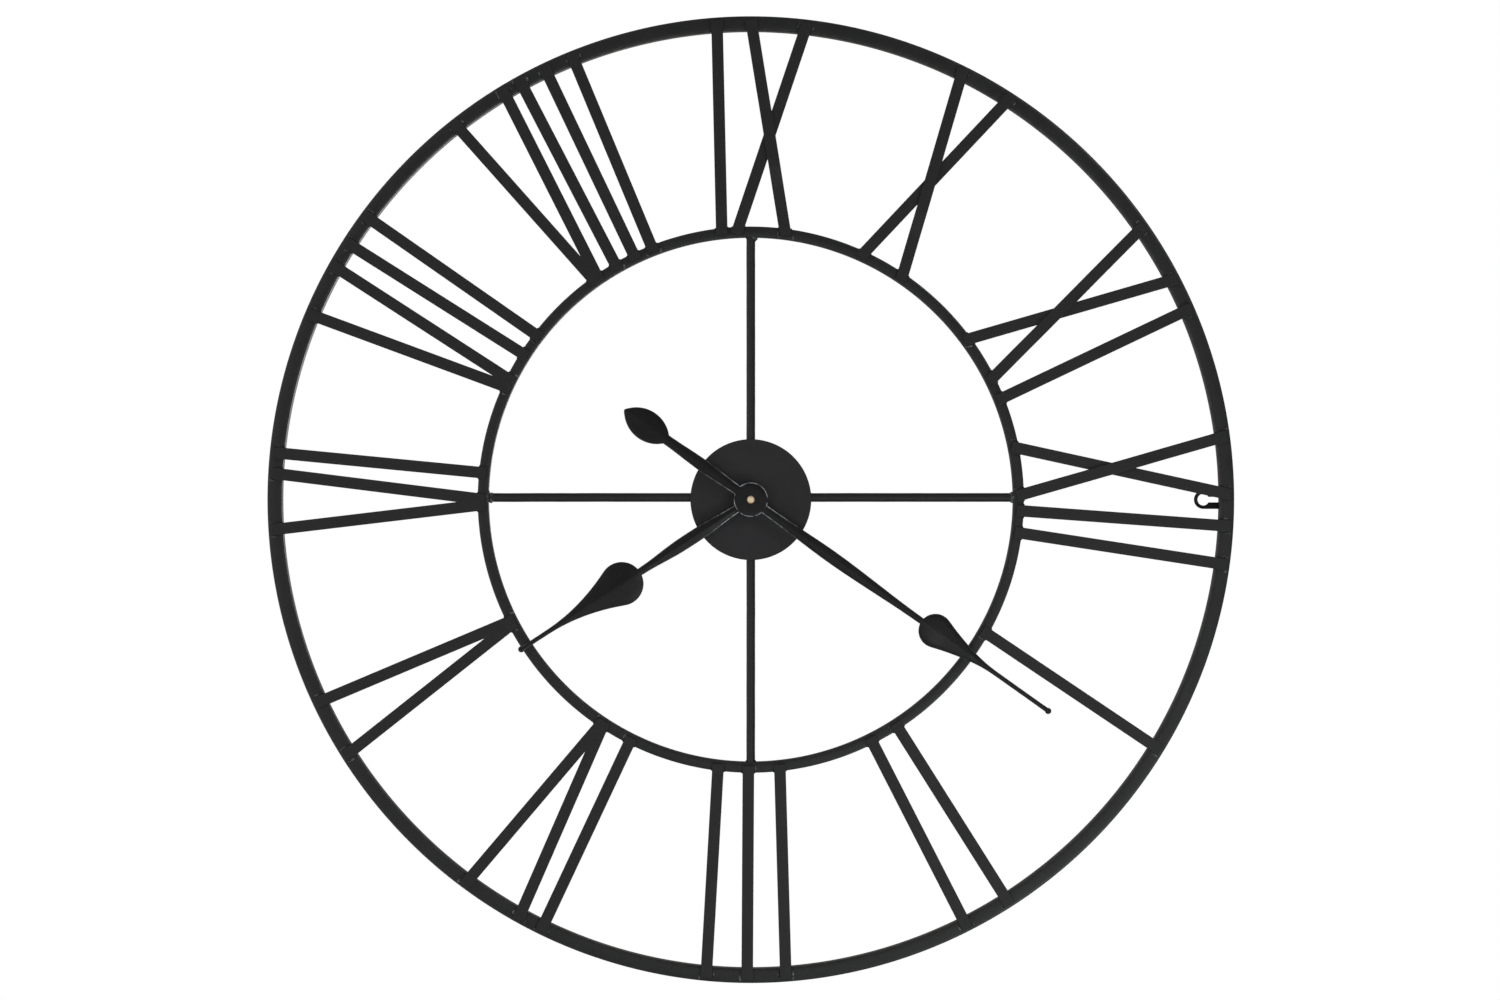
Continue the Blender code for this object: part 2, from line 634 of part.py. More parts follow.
def add_numerals(centre):
    for hour, strokes in NUMERALS.items():
        ones = sum(kind == "I" for kind, _ in strokes)
        count = 0
        for kind, ends in strokes:
            first = stroke_ends(hour, *ends[:2])
            name = f"numeral_{hour:02d}"
            if kind == "I":
                count += 1
                number = str(count) if ones > 1 else ""
                add_object(f"{name}_i{number}", straight_strip(*first), centre, BLACK_PAINT)
                continue
            second = stroke_ends(hour, *ends[2:])
            if kind == "V":
                add_object(f"{name}_v", v_strips(first, second), centre, BLACK_PAINT)
            else:
                add_object(f"{name}_x_under", straight_strip(*first), centre, BLACK_PAINT)
                add_object(f"{name}_x_over", bowed_strip(*second, first), centre, BLACK_PAINT)


# ---- the hands ----


def mirrored(side):
    """A closed outline from its right side, listed from tail to tip on the axis."""
    left = [(-x, z) for x, z in reversed(side) if x > 0]
    return tuple(side + left)


def circle_height(radius, half_width):
    return math.sqrt(radius**2 - half_width**2)


def arm_edge(stations, end):
    """The smooth edge of an arm, from the boss to the height of its end."""
    start = math.copysign(circle_height(HAND_BOSS_RADIUS, stations[0][1]), end)
    steps = 4
    points = []
    for (share1, w1), (share2, w2) in zip(stations, stations[1:]):
        for i in range(1, steps + 1):
            t = i / steps
            share = share1 + (share2 - share1) * t
            points.append((w1 + (w2 - w1) * t * t * (3 - 2 * t), start + (end - start) * share))
    return points


def arm_and_drop(arm, length, radius, middle, shoulder, pull, taper_end):
    """The edge of an arm and the teardrop at its end: a round part, then a taper to the rod."""
    neck = arm[-1][1]
    drop = arc((0, middle), radius, math.pi - math.asin(neck / radius), shoulder, 10)
    taper = curve(drop[-1], (ROD_HALF_WIDTH, pull), (ROD_HALF_WIDTH, taper_end), 7)
    neck_height = middle - circle_height(radius, neck)
    return arm_edge(arm, neck_height) + drop[1:-1] + taper + ball_tip(length)


def ball_tip(length):
    """A small ball at the rod's end."""
    start = math.pi - math.asin(ROD_HALF_WIDTH / BALL_RADIUS)
    return arc((0, length - BALL_RADIUS), BALL_RADIUS, start, 0, 6)[:-1] + [(0, length)]


def leaf_tail():
    """The edge of the minute hand's tail, from its point to the boss."""
    middle = LEAF_HALF_LENGTH - TAIL_LENGTH
    radius = (LEAF_HALF_LENGTH**2 + LEAF_HALF_WIDTH**2) / 2 / LEAF_HALF_WIDTH
    arc_centre = LEAF_HALF_WIDTH - radius
    neck = TAIL_ARM[-1][1]
    sweep = math.asin(LEAF_HALF_LENGTH / radius)
    neck_sweep = math.acos((neck - arc_centre) / radius)
    quarter = math.pi / 2
    leaf = arc((arc_centre, middle), radius, quarter + sweep, quarter - neck_sweep, 9)
    return [(0, -TAIL_LENGTH)] + leaf[1:-1] + arm_edge(TAIL_ARM, leaf[-1][1])[::-1]


def boss_edge(start, arm):
    return arc((0, 0), HAND_BOSS_RADIUS, start, math.asin(arm[0][1] / HAND_BOSS_RADIUS), 9)


def minute_hand_outline():
    length = MINUTE_HAND_LENGTH
    boss = boss_edge(math.pi - math.asin(TAIL_ARM[0][1] / HAND_BOSS_RADIUS), MINUTE_ARM)
    shape = 0.6155 * length, math.radians(73), 0.74 * length, 0.812 * length
    arm = arm_and_drop(MINUTE_ARM, length, MINUTE_DROP_RADIUS, *shape)
    return mirrored(leaf_tail() + boss + arm)


def hour_hand_outline():
    length = HOUR_HAND_LENGTH
    boss = [(0, -HAND_BOSS_RADIUS)] + boss_edge(math.pi, HOUR_ARM)[1:]
    shape = 0.556 * length, math.radians(66), 0.735 * length, 0.875 * length
    arm = arm_and_drop(HOUR_ARM, length, HOUR_DROP_RADIUS, *shape)
    return mirrored(boss + arm)


def add_hand(name, outline, back_y, bore_radius, angle, centre):
    front_y = back_y - HAND_COLLAR - HAND_THICKNESS
    bore = circle(bore_radius)
    collar = circle(bore_radius + COLLAR_WALL)
    mesh = stack(
        (front_y, front_y + HAND_THICKNESS, outline, bore),
        (front_y + HAND_THICKNESS, back_y, collar, bore),
    )
    add_object(name, mesh, centre, HAND_PAINT, turn=(0, angle, 0))


def add_hands(centre):
    hour_bore = HOUR_TUBE_RADIUS + RUNNING_GAP
    minute_bore = MINUTE_ARBOR_RADIUS + RUNNING_GAP
    add_hand("hour_hand", hour_hand_outline(), HOUR_HAND_BACK_Y, hour_bore, HOUR_HAND_ANGLE, centre)
    outline = minute_hand_outline()
    add_hand("minute_hand", outline, MINUTE_HAND_BACK_Y, minute_bore, MINUTE_HAND_ANGLE, centre)
    bore_end = HAND_NUT_BACK_Y - HAND_NUT_BORE
    dome_mid = bore_end - HAND_NUT_DOME / 2
    nut = stack(
        (bore_end - HAND_NUT_DOME, dome_mid, circle(HAND_NUT_RADIUS * 0.72, 20)),
        (dome_mid, bore_end, circle(HAND_NUT_RADIUS * 0.93, 20)),
        (bore_end, HAND_NUT_BACK_Y, circle(HAND_NUT_RADIUS, 20), circle(minute_bore, 16)),
    )
    add_object("hand_nut", nut, centre, BRASS)


# ---- the movement ----


def meshed(teeth, angle, other_teeth, direction):
    """The angle that puts a gear in mesh with one of that many teeth at that angle, when it
    lies in that direction from it."""
    return direction + math.pi - (math.pi - teeth * (direction - angle)) / other_teeth


def add_fasteners(centre):
    hole = circle(NECK_RADIUS + RUNNING_GAP)
    gasket_front = DISC_BACK_Y + GAP
    gasket = stack((gasket_front, gasket_front + GASKET_THICKNESS, circle(GASKET_RADIUS, 32), hole))
    add_object("rubber_gasket", gasket, centre, RUBBER)
    washer = stack((WASHER_Y, WASHER_Y + WASHER_THICKNESS, circle(WASHER_RADIUS), hole))
    add_object("washer", washer, centre, STEEL)
    hexagon = circle(NUT_ACROSS_FLATS / 2 / math.cos(math.pi / 6), 6)
    add_object("hex_nut", stack((NUT_Y, NUT_Y + NUT_THICKNESS, hexagon, hole)), centre, BRASS)


def add_wheel(name, axis, angle, centre, finish, *sections):
    """A turning piece: its object's origin is on its axis, at the case's front."""
    add_object(name, stack(*sections), centre, finish, (axis[0], CASE_FRONT_Y, axis[1]), (0, angle, 0))


def add_going_train(centre):
    """Rotor, intermediate, second, third and minute wheels, each in mesh with the next."""
    arbor = circle(ARBOR_RADIUS, 10)
    front_end = FRONT_INSIDE - PIVOT_DEPTH + GAP
    pinion_rise = PINION_THICKNESS - WHEEL_THICKNESS

    minute_end = MINUTE_LEVEL + WHEEL_THICKNESS
    hub = circle(HUB_RADIUS, 16)
    arbor_tip = HAND_NUT_BACK_Y - HAND_NUT_BORE + GAP - CASE_FRONT_Y
    add_wheel(
        "minute_wheel", (0, 0), 0, centre, STEEL,
        (arbor_tip, MOTION_LEVEL, circle(MINUTE_ARBOR_RADIUS, 16)),
        (MOTION_LEVEL, MOTION_LEVEL + PINION_THICKNESS, pinion(CANNON_PINION, MOTION_MODULE)),
        (MOTION_LEVEL + PINION_THICKNESS, MINUTE_LEVEL, hub),
        (MINUTE_LEVEL, minute_end, gear(MINUTE_TEETH, MINUTE_MODULE)),
        (minute_end, minute_end + ARBOR_STUB, hub, circle(ARBOR_RADIUS + RUNNING_GAP, 10)),
    )

    third_angle = meshed(MINUTE_TEETH, 0, THIRD_PINION, THIRD_DIRECTION)
    add_wheel(
        "third_wheel", THIRD_AXIS, third_angle, centre, WHEEL_PLASTIC,
        (front_end, MINUTE_LEVEL - pinion_rise / 2, arbor),
        (MINUTE_LEVEL - pinion_rise / 2, minute_end + pinion_rise / 2, pinion(THIRD_PINION, MINUTE_MODULE)),
        (minute_end + pinion_rise / 2, THIRD_LEVEL, arbor),
        (THIRD_LEVEL, THIRD_LEVEL + WHEEL_THICKNESS, gear(THIRD_TEETH, GOING_MODULE)),
        (THIRD_LEVEL + WHEEL_THICKNESS, SECOND_LEVEL + WHEEL_THICKNESS + PIVOT_LENGTH, arbor),
    )

    second_angle = meshed(THIRD_TEETH, third_angle, SECOND_PINION, THIRD_DIRECTION + math.pi)
    second_front = THIRD_LEVEL - pinion_rise / 2
    second_back = THIRD_LEVEL + WHEEL_THICKNESS + pinion_rise / 2
    add_wheel(
        "second_wheel", (0, 0), second_angle, centre, WHEEL_PLASTIC,
        (minute_end + GAP, second_front, arbor),
        (second_front, second_back, pinion(SECOND_PINION, GOING_MODULE)),
        (second_back, SECOND_LEVEL, arbor),
        (SECOND_LEVEL, SECOND_LEVEL + WHEEL_THICKNESS, gear(SECOND_TEETH, GOING_MODULE)),
        (SECOND_LEVEL + WHEEL_THICKNESS, SECOND_LEVEL + WHEEL_THICKNESS + PIVOT_LENGTH, arbor),
    )

    intermediate_angle = meshed(SECOND_TEETH, second_angle, INTERMEDIATE_PINION, INTERMEDIATE_DIRECTION)
    pinion_front = SECOND_LEVEL - pinion_rise / 2
    pinion_back = SECOND_LEVEL + WHEEL_THICKNESS + pinion_rise / 2
    wheel_back = INTERMEDIATE_LEVEL + WHEEL_THICKNESS
    add_wheel(
        "intermediate_wheel", INTERMEDIATE_AXIS, intermediate_angle, centre, WHEEL_PLASTIC,
        (front_end, pinion_front, arbor),
        (pinion_front, pinion_back, pinion(INTERMEDIATE_PINION, GOING_MODULE)),
        (pinion_back, INTERMEDIATE_LEVEL, arbor),
        (INTERMEDIATE_LEVEL, wheel_back, gear(INTERMEDIATE_TEETH, ROTOR_MODULE)),
        (wheel_back, wheel_back + PIVOT_LENGTH, arbor),
    )

    rotor_angle = meshed(INTERMEDIATE_TEETH, intermediate_angle, ROTOR_TEETH, ROTOR_DIRECTION)
    rotor_front = INTERMEDIATE_LEVEL - pinion_rise / 2
    rotor_back = wheel_back + pinion_rise / 2
    magnet_back = MAGNET_LEVEL + MAGNET_THICKNESS
    add_wheel(
        "rotor", ROTOR_AXIS, rotor_angle, centre, STEEL,
        (front_end, rotor_front, arbor),
        (rotor_front, rotor_back, pinion(ROTOR_TEETH, ROTOR_MODULE)),
        (rotor_back, MAGNET_LEVEL, arbor),
        (MAGNET_LEVEL, magnet_back, circle(MAGNET_RADIUS, 20)),
        (magnet_back, magnet_back + ARBOR_STUB, arbor),
    )


def add_motion_work(centre):
    """The 12 to 1 train under the hands, and the knob that sets it."""
    stud_bore = circle(STUD_RADIUS + RUNNING_GAP, 12)
    motion_angle = meshed(CANNON_PINION, 0, MOTION_TEETH, MOTION_DIRECTION)
    add_wheel(
        "motion_wheel", MOTION_AXIS, motion_angle, centre, WHEEL_PLASTIC,
        (HOUR_LEVEL, MOTION_LEVEL, pinion(MOTION_PINION, HOUR_MODULE), stud_bore),
        (MOTION_LEVEL, MOTION_LEVEL + WHEEL_THICKNESS, gear(MOTION_TEETH, MOTION_MODULE), stud_bore),
    )
    hour_angle = meshed(MOTION_PINION, motion_angle, HOUR_TEETH, MOTION_DIRECTION + math.pi)
    tube_bore = circle(MINUTE_ARBOR_RADIUS + RUNNING_GAP, 20)
    add_wheel(
        "hour_wheel", (0, 0), hour_angle, centre, BRASS,
        (HOUR_TUBE_END_Y - CASE_FRONT_Y, HOUR_LEVEL, circle(HOUR_TUBE_RADIUS), tube_bore),
        (HOUR_LEVEL, HOUR_LEVEL + WHEEL_THICKNESS, gear(HOUR_TEETH, HOUR_MODULE), tube_bore),
    )
    knob_angle = meshed(MOTION_TEETH, motion_angle, KNOB_TEETH, KNOB_DIRECTION)
    grip = []
    for i in range(32):
        grip.append(at_angle(KNOB_RADIUS * (1 if i % 4 < 2 else 0.9), i * math.pi / 16))
    add_wheel(
        "setting_knob", KNOB_AXIS, knob_angle, centre, CASE_PLASTIC,
        (FRONT_INSIDE - PIVOT_DEPTH + GAP, MOTION_LEVEL, circle(ARBOR_RADIUS, 10)),
        (MOTION_LEVEL, MOTION_LEVEL + WHEEL_THICKNESS, pinion(KNOB_TEETH, MOTION_MODULE)),
        (MOTION_LEVEL + WHEEL_THICKNESS, CASE_DEPTH + GAP, circle(KNOB_SHAFT_RADIUS, 12)),
        (CASE_DEPTH + GAP, CASE_DEPTH + GAP + KNOB_THICKNESS, tuple(grip)),
    )


def add_case(centre):
    place = (0, CASE_FRONT_Y, 0)
    outside = rounded_rectangle(
        INSIDE_SIDE + CASE_WALL, INSIDE_BOTTOM - CASE_WALL, INSIDE_TOP + CASE_WALL, CASE_CORNER
    )
    neck_bore = circle(HOUR_TUBE_RADIUS + RUNNING_GAP)
    pivot_radius = ARBOR_RADIUS + RUNNING_GAP
    pivot_axes = (THIRD_AXIS, INTERMEDIATE_AXIS, ROTOR_AXIS, KNOB_AXIS)
    pivots = [circle(pivot_radius, 10, axis) for axis in pivot_axes]
    pivot_start = FRONT_INSIDE - PIVOT_DEPTH
    stud = circle(STUD_RADIUS, 10, MOTION_AXIS)
    front = stack(
        (-NECK_LENGTH, 0, circle(NECK_RADIUS), neck_bore),
        (0, pivot_start, outside, neck_bore),
        (pivot_start, FRONT_INSIDE, outside, neck_bore, *pivots),
        (FRONT_INSIDE, MOTION_LEVEL + WHEEL_THICKNESS + LEVEL_GAP, stud),
    )
    add_object("front_case", front, centre, CASE_PLASTIC, place)

    shell_front = FRONT_INSIDE + GAP
    well = rectangle(-INSIDE_SIDE, INSIDE_SIDE, INSIDE_BOTTOM, INSIDE_TOP)
    bay = rectangle(GAP - INSIDE_SIDE, INSIDE_SIDE - GAP, INSIDE_BOTTOM + GAP, BAY_TOP - GAP)
    knob_hole = circle(KNOB_SHAFT_RADIUS + 2 * RUNNING_GAP, 12, KNOB_AXIS)
    rear = add_object(
        "rear_case",
        stack(
            (shell_front, FLOOR_LEVEL, outside, well),
            (FLOOR_LEVEL, CASE_DEPTH, outside, bay, knob_hole),
        ),
        centre, CASE_PLASTIC, place,
    )
    sunk = FLOOR_LEVEL + CASE_WALL / 3
    post = circle(POST_RADIUS, 12)
    bore = circle(pivot_radius, 10)
    behind_second = SECOND_LEVEL + WHEEL_THICKNESS + POST_GAP
    behind_intermediate = INTERMEDIATE_LEVEL + WHEEL_THICKNESS + POST_GAP
    behind_magnet = MAGNET_LEVEL + MAGNET_THICKNESS + POST_GAP
    starts = (
        ((0, 0), behind_second), (THIRD_AXIS, behind_second),
        (INTERMEDIATE_AXIS, behind_intermediate), (ROTOR_AXIS, behind_magnet),
    )
    tools = []
    for (x, z), start in starts:
        bore_end = start + PIVOT_LENGTH - POST_GAP + GAP
        if bore_end < sunk - GAP:
            body = stack((start, bore_end, post, bore), (bore_end, sunk, post))
        else:
            body = stack((start, sunk, post, bore))
        bmesh.ops.transform(body, matrix=Matrix.Translation((x, 0, z)), verts=body.verts)
        tools.append(body)
    bay_wall_half = INSIDE_SIDE - 4 * CONTACT_THICKNESS
    wall = rectangle(-bay_wall_half, bay_wall_half, BAY_TOP, BAY_TOP + BAY_WALL)
    tools.append(stack((shell_front + GAP, sunk, wall)))
    shape_with(rear, add_tool("posts_and_bay_wall", join_meshes(tools), centre, place), "UNION")


def add_motor(centre):
    place = (0, CASE_FRONT_Y, 0)
    rotor_x, rotor_z = ROTOR_AXIS
    right = rotor_x + ROTOR_FROM_STATOR_END
    left = right - STATOR_LENGTH
    bar_top = rotor_z + STATOR_BAR / 2
    bar_bottom = rotor_z - STATOR_BAR / 2
    outline = (
        (left, bar_bottom), (left, STATOR_TOP),
        (left + STATOR_LEG, STATOR_TOP), (left + STATOR_LEG, bar_top),
        (right - STATOR_LEG, bar_top), (right - STATOR_LEG, STATOR_TOP),
        (right, STATOR_TOP), (right, bar_bottom),
    )
    hole = circle(STATOR_HOLE_RADIUS, 20, ROTOR_AXIS)
    stator = stack((STATOR_LEVEL, STATOR_LEVEL + STATOR_THICKNESS, outline, hole))
    add_object("stator", stator, centre, STEEL, place)

    # the coil is modelled along Y and turned to lie along X, across the stator's legs
    core_y = CASE_FRONT_Y + STATOR_LEVEL - GAP - CORE_THICKNESS / 2
    core = rectangle(-CORE_THICKNESS / 2, CORE_THICKNESS / 2, -CORE_WIDTH / 2, CORE_WIDTH / 2)
    start, end = STATOR_LEG + GAP, STATOR_LENGTH - STATOR_LEG - GAP
    coil = stack(
        (0, start, core),
        (start, start + COIL_FLANGE, circle(COIL_RADIUS, 16)),
        (start + COIL_FLANGE, end - COIL_FLANGE, circle(WINDING_RADIUS, 16)),
        (end - COIL_FLANGE, end, circle(COIL_RADIUS, 16)),
        (end, STATOR_LENGTH, core),
    )
    add_object("coil", coil, centre, COPPER, (left, core_y, COIL_Z), (0, 0, -math.pi / 2))


def add_electrics(centre):
    place = (0, CASE_FRONT_Y, 0)
    board_front = STATOR_LEVEL + STATOR_THICKNESS + LEVEL_GAP
    board_right = BOARD_LEFT + BOARD_WIDTH
    board = rectangle(BOARD_LEFT, board_right, BOARD_BOTTOM, BOARD_BOTTOM + BOARD_HEIGHT)
    chip = circle(CHIP_RADIUS, 12, (BOARD_LEFT + BOARD_WIDTH / 2, BOARD_BOTTOM + BOARD_HEIGHT / 2))
    mesh = stack(
        (board_front - CHIP_HEIGHT, board_front, chip),
        (board_front, board_front + BOARD_THICKNESS, board),
    )
    add_object("circuit_board", mesh, centre, BOARD_GREEN, place)

    nub_end = INSIDE_SIDE - CONTACT_SPACE + GAP
    battery = stack(
        (-BATTERY_LENGTH, -BATTERY_NUB_LENGTH, circle(BATTERY_RADIUS, 24)),
        (-BATTERY_NUB_LENGTH, 0, circle(BATTERY_NUB_RADIUS, 24)),
    )
    battery_place = (nub_end, CASE_FRONT_Y + BATTERY_LEVEL, BATTERY_Z)
    add_object("battery", battery, centre, BATTERY_GREY, battery_place, (0, 0, -math.pi / 2))

    # each contact is a bent strip that stands against the battery's end
    outer = nub_end + GAP + CONTACT_THICKNESS
    foot = BATTERY_Z - CONTACT_REACH
    run = BAY_TOP + BAY_WALL + GAP
    low, high = BATTERY_LEVEL - CONTACT_WIDTH / 2, BATTERY_LEVEL + CONTACT_WIDTH / 2
    plus = (
        (outer - CONTACT_THICKNESS, foot), (outer - CONTACT_THICKNESS, run), (board_right, run),
        (board_right, run + CONTACT_THICKNESS), (outer, run + CONTACT_THICKNESS), (outer, foot),
    )
    add_object("contact_plus", stack((low, high, plus)), centre, STEEL, place)
    plate = -INSIDE_SIDE + GAP
    tongue = plate + CONTACT_THICKNESS
    flat_end = nub_end - BATTERY_LENGTH - GAP
    minus = (
        (plate, foot), (plate, BOARD_BOTTOM), (tongue, BOARD_BOTTOM),
        (tongue, BATTERY_Z + CONTACT_REACH), (flat_end, BATTERY_Z), (tongue, foot),
    )
    add_object("contact_minus", stack((low, high, minus)), centre, STEEL, place)


def main():
    clear_scene()
    centre = bpy.data.objects.new("dial_centre", None)
    bpy.context.scene.collection.objects.link(centre)
    centre.location = (0, 0, -HOOK_RADIUS)
    add_rings(centre)
    add_spokes(centre)
    add_disc(centre)
    add_hanger(centre)
    add_numerals(centre)
    add_hands(centre)
    add_fasteners(centre)
    add_case(centre)
    add_going_train(centre)
    add_motion_work(centre)
    add_motor(centre)
    add_electrics(centre)


main()
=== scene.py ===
"""The wall clock's looks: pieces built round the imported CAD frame, riding on its bodies."""

import math

import bmesh
import bpy
from mathutils import Matrix, Vector, noise


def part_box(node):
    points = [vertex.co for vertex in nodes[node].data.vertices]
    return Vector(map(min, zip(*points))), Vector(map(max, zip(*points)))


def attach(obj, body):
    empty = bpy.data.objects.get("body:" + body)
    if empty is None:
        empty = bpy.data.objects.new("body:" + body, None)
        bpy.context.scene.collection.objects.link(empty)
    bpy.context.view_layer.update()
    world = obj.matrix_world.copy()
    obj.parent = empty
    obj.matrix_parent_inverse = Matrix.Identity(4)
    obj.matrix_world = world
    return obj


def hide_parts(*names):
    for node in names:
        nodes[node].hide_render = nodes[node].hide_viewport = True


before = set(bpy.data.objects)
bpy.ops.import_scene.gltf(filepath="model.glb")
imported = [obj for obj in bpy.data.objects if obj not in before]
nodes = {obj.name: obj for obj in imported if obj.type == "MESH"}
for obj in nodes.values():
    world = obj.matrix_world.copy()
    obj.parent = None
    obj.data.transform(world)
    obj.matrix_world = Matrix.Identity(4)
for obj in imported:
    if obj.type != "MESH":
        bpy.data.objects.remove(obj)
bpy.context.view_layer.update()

MM = 0.001

# ---- places, from the CAD ----

ring_low, ring_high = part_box("outer_ring")
small_low, small_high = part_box("inner_ring")
CENTRE = Vector((0, 0, (ring_low.z + ring_high.z) / 2))
RING_RADIUS = (ring_high.x - ring_low.x) / 2
RING_TUBE = ring_high.y - ring_low.y  # the tube is square
SMALL_RADIUS = (small_high.x - small_low.x) / 2
SMALL_TUBE = small_high.y - small_low.y
RING_FRONT = ring_low.y
DRAIN_ANGLE = math.radians(172)
DRAIN_RADIUS = 2 * MM
FORWARD = Vector((0, -1, 0))  # out of the wall, towards the viewer
BACKWARD = Vector((0, 1, 0))
UP = Vector((0, 0, 1))


def at_angle(radius, angle, y=0.0):
    """The point that far from the dial's axis, clockwise from 12 as seen from the front."""
    return Vector((radius * math.sin(angle), y, CENTRE.z + radius * math.cos(angle)))


def rough(seed):
    """A repeatable number from -1 to 1."""
    return noise.noise(Vector((seed * 1.7 + 0.31, seed * 0.53, 4.7)))


# ---- meshes ----


def new_bmesh():
    mesh = bmesh.new()
    mesh.faces.layers.float.new("wear_and_painted_light")
    return mesh


def wear_and_painted_light_layer(mesh):
    return mesh.faces.layers.float["wear_and_painted_light"]


def piece(name, mesh, material, body, stands_for=(), sharp=40, weighted=False):
    """Turns a bmesh in the row frame into a shown object that rides on a body."""
    bmesh.ops.recalc_face_normals(mesh, faces=mesh.faces)
    data = bpy.data.meshes.new(name)
    mesh.to_mesh(data)
    mesh.free()
    data.shade_smooth()
    data.set_sharp_from_angle(angle=math.radians(sharp))
    data.materials.append(material)
    made = bpy.data.objects.new(name, data)
    bpy.context.scene.collection.objects.link(made)
    if weighted:
        made.modifiers.new("flat_faces", "WEIGHTED_NORMAL").keep_sharp = True
    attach(made, body)
    if stands_for:
        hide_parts(*stands_for)
    return made


def cad_mesh(name):
    """A CAD node's shape with its flat faces whole, ready to be bevelled."""
    mesh = new_bmesh()
    mesh.from_mesh(nodes[name].data)
    bmesh.ops.remove_doubles(mesh, verts=mesh.verts, dist=0.002 * MM)
    bmesh.ops.dissolve_limit(
        mesh, angle_limit=math.radians(0.4), verts=mesh.verts, edges=mesh.edges,
        use_dissolve_boundaries=False,
    )
    return mesh


def bevel_edges(mesh, width, angle=35, wear_and_painted_light=1.0):
    """Rounds the sharp edges, and marks the new faces for the edge mask: worn paint on most parts,
    painted shade on brass.
    """
    sharp = [
        e for e in mesh.edges
        if len(e.link_faces) == 2 and e.calc_face_angle(0) > math.radians(angle)
    ]
    made = bmesh.ops.bevel(
        mesh, geom=sharp, offset=width, segments=2, profile=0.6, affect="EDGES", clamp_overlap=True
    )
    layer = wear_and_painted_light_layer(mesh)
    for face in made["faces"]:
        face[layer] = wear_and_painted_light


def cad_piece(name, made_name, material, body, bevel=0.3, angle=35, wear_and_painted_light=1.0):
    """The CAD node's own shape with rounded edges, standing for the node."""
    mesh = cad_mesh(name)
    bevel_edges(mesh, bevel * MM, angle, wear_and_painted_light)
    piece(made_name, mesh, material, body, (name,), sharp=50, weighted=True)


def lathe(mesh, profile, segments, centre=CENTRE, axis="Y"):
    """Sweeps a closed profile of (radius, place along the axis, edge mask) round an axis; the mask
    is worn paint on the rings and disc, painted shade on the brass cap.
    """
    layer = wear_and_painted_light_layer(mesh)
    rings = []
    for i in range(segments):
        angle = 2 * math.pi * i / segments
        ring = []
        for radius, along, _ in profile:
            aside, high = radius * math.sin(angle), centre.z + radius * math.cos(angle)
            if axis == "Y":
                ring.append(mesh.verts.new((centre.x + aside, along, high)))
            else:
                ring.append(mesh.verts.new((along, centre.y + aside, high)))
        rings.append(ring)
    for i, ring in enumerate(rings):
        following = rings[(i + 1) % segments]
        for j in range(len(profile)):
            k = (j + 1) % len(profile)
            if profile[j][0] < 1e-7 and profile[k][0] < 1e-7:
                continue
            face = mesh.faces.new((ring[j], ring[k], following[k], following[j]))
            face[layer] = (profile[j][2] + profile[k][2]) / 2
    bmesh.ops.remove_doubles(mesh, verts=mesh.verts, dist=0.0005 * MM)


def rounded_profile(r_in, r_out, y_front, y_back, corner, crown=0.0, steps=4, wear_and_painted_light=0.6):
    """A rectangular tube's section with round corners and a slightly crowned front."""
    points = []
    middle, half = (r_in + r_out) / 2, (r_out - r_in) / 2 - corner
    corners = (
        (r_in + corner, y_front + corner, math.pi, 1.5 * math.pi),
        (r_out - corner, y_front + corner, 1.5 * math.pi, 2 * math.pi),
        (r_out - corner, y_back - corner, 0, 0.5 * math.pi),
        (r_in + corner, y_back - corner, 0.5 * math.pi, math.pi),
    )
    for number, (cx, cy, start, end) in enumerate(corners):
        for i in range(steps + 1):
            t = start + (end - start) * i / steps
            worn_and_painted_light = wear_and_painted_light if 0 < i < steps else 0
            points.append((cx + corner * math.cos(t), cy + corner * math.sin(t), worn_and_painted_light))
        if number == 0 and crown:
            for i in range(1, 8):
                share = i / 4 - 1
                points.append((middle + share * half, y_front - crown * (1 - share * share), 0))
    return points


def add_bead(mesh, centre, along, out, size, seed, wear_and_painted_light=0.5):
    """A lump of weld metal: an uneven ellipsoid, size (length, width, height)."""
    along = along.normalized()
    out = (out - along * out.dot(along)).normalized()
    across = along.cross(out)
    length, width, height = (s / 2 for s in size)
    made = bmesh.ops.create_icosphere(mesh, subdivisions=3, radius=1)
    shift = Vector((seed * 3.1, seed * 1.3, seed * 0.7))
    for v in made["verts"]:
        lump = 1 + 0.16 * noise.noise(v.co * 1.9 + shift) + 0.06 * noise.noise(v.co * 5.1 + shift)
        co = v.co * lump
        v.co = centre + along * co.x * length + across * co.y * width + out * co.z * height
    layer = wear_and_painted_light_layer(mesh)
    for face in {f for v in made["verts"] for f in v.link_faces}:
        face[layer] = wear_and_painted_light


# ---- materials ----


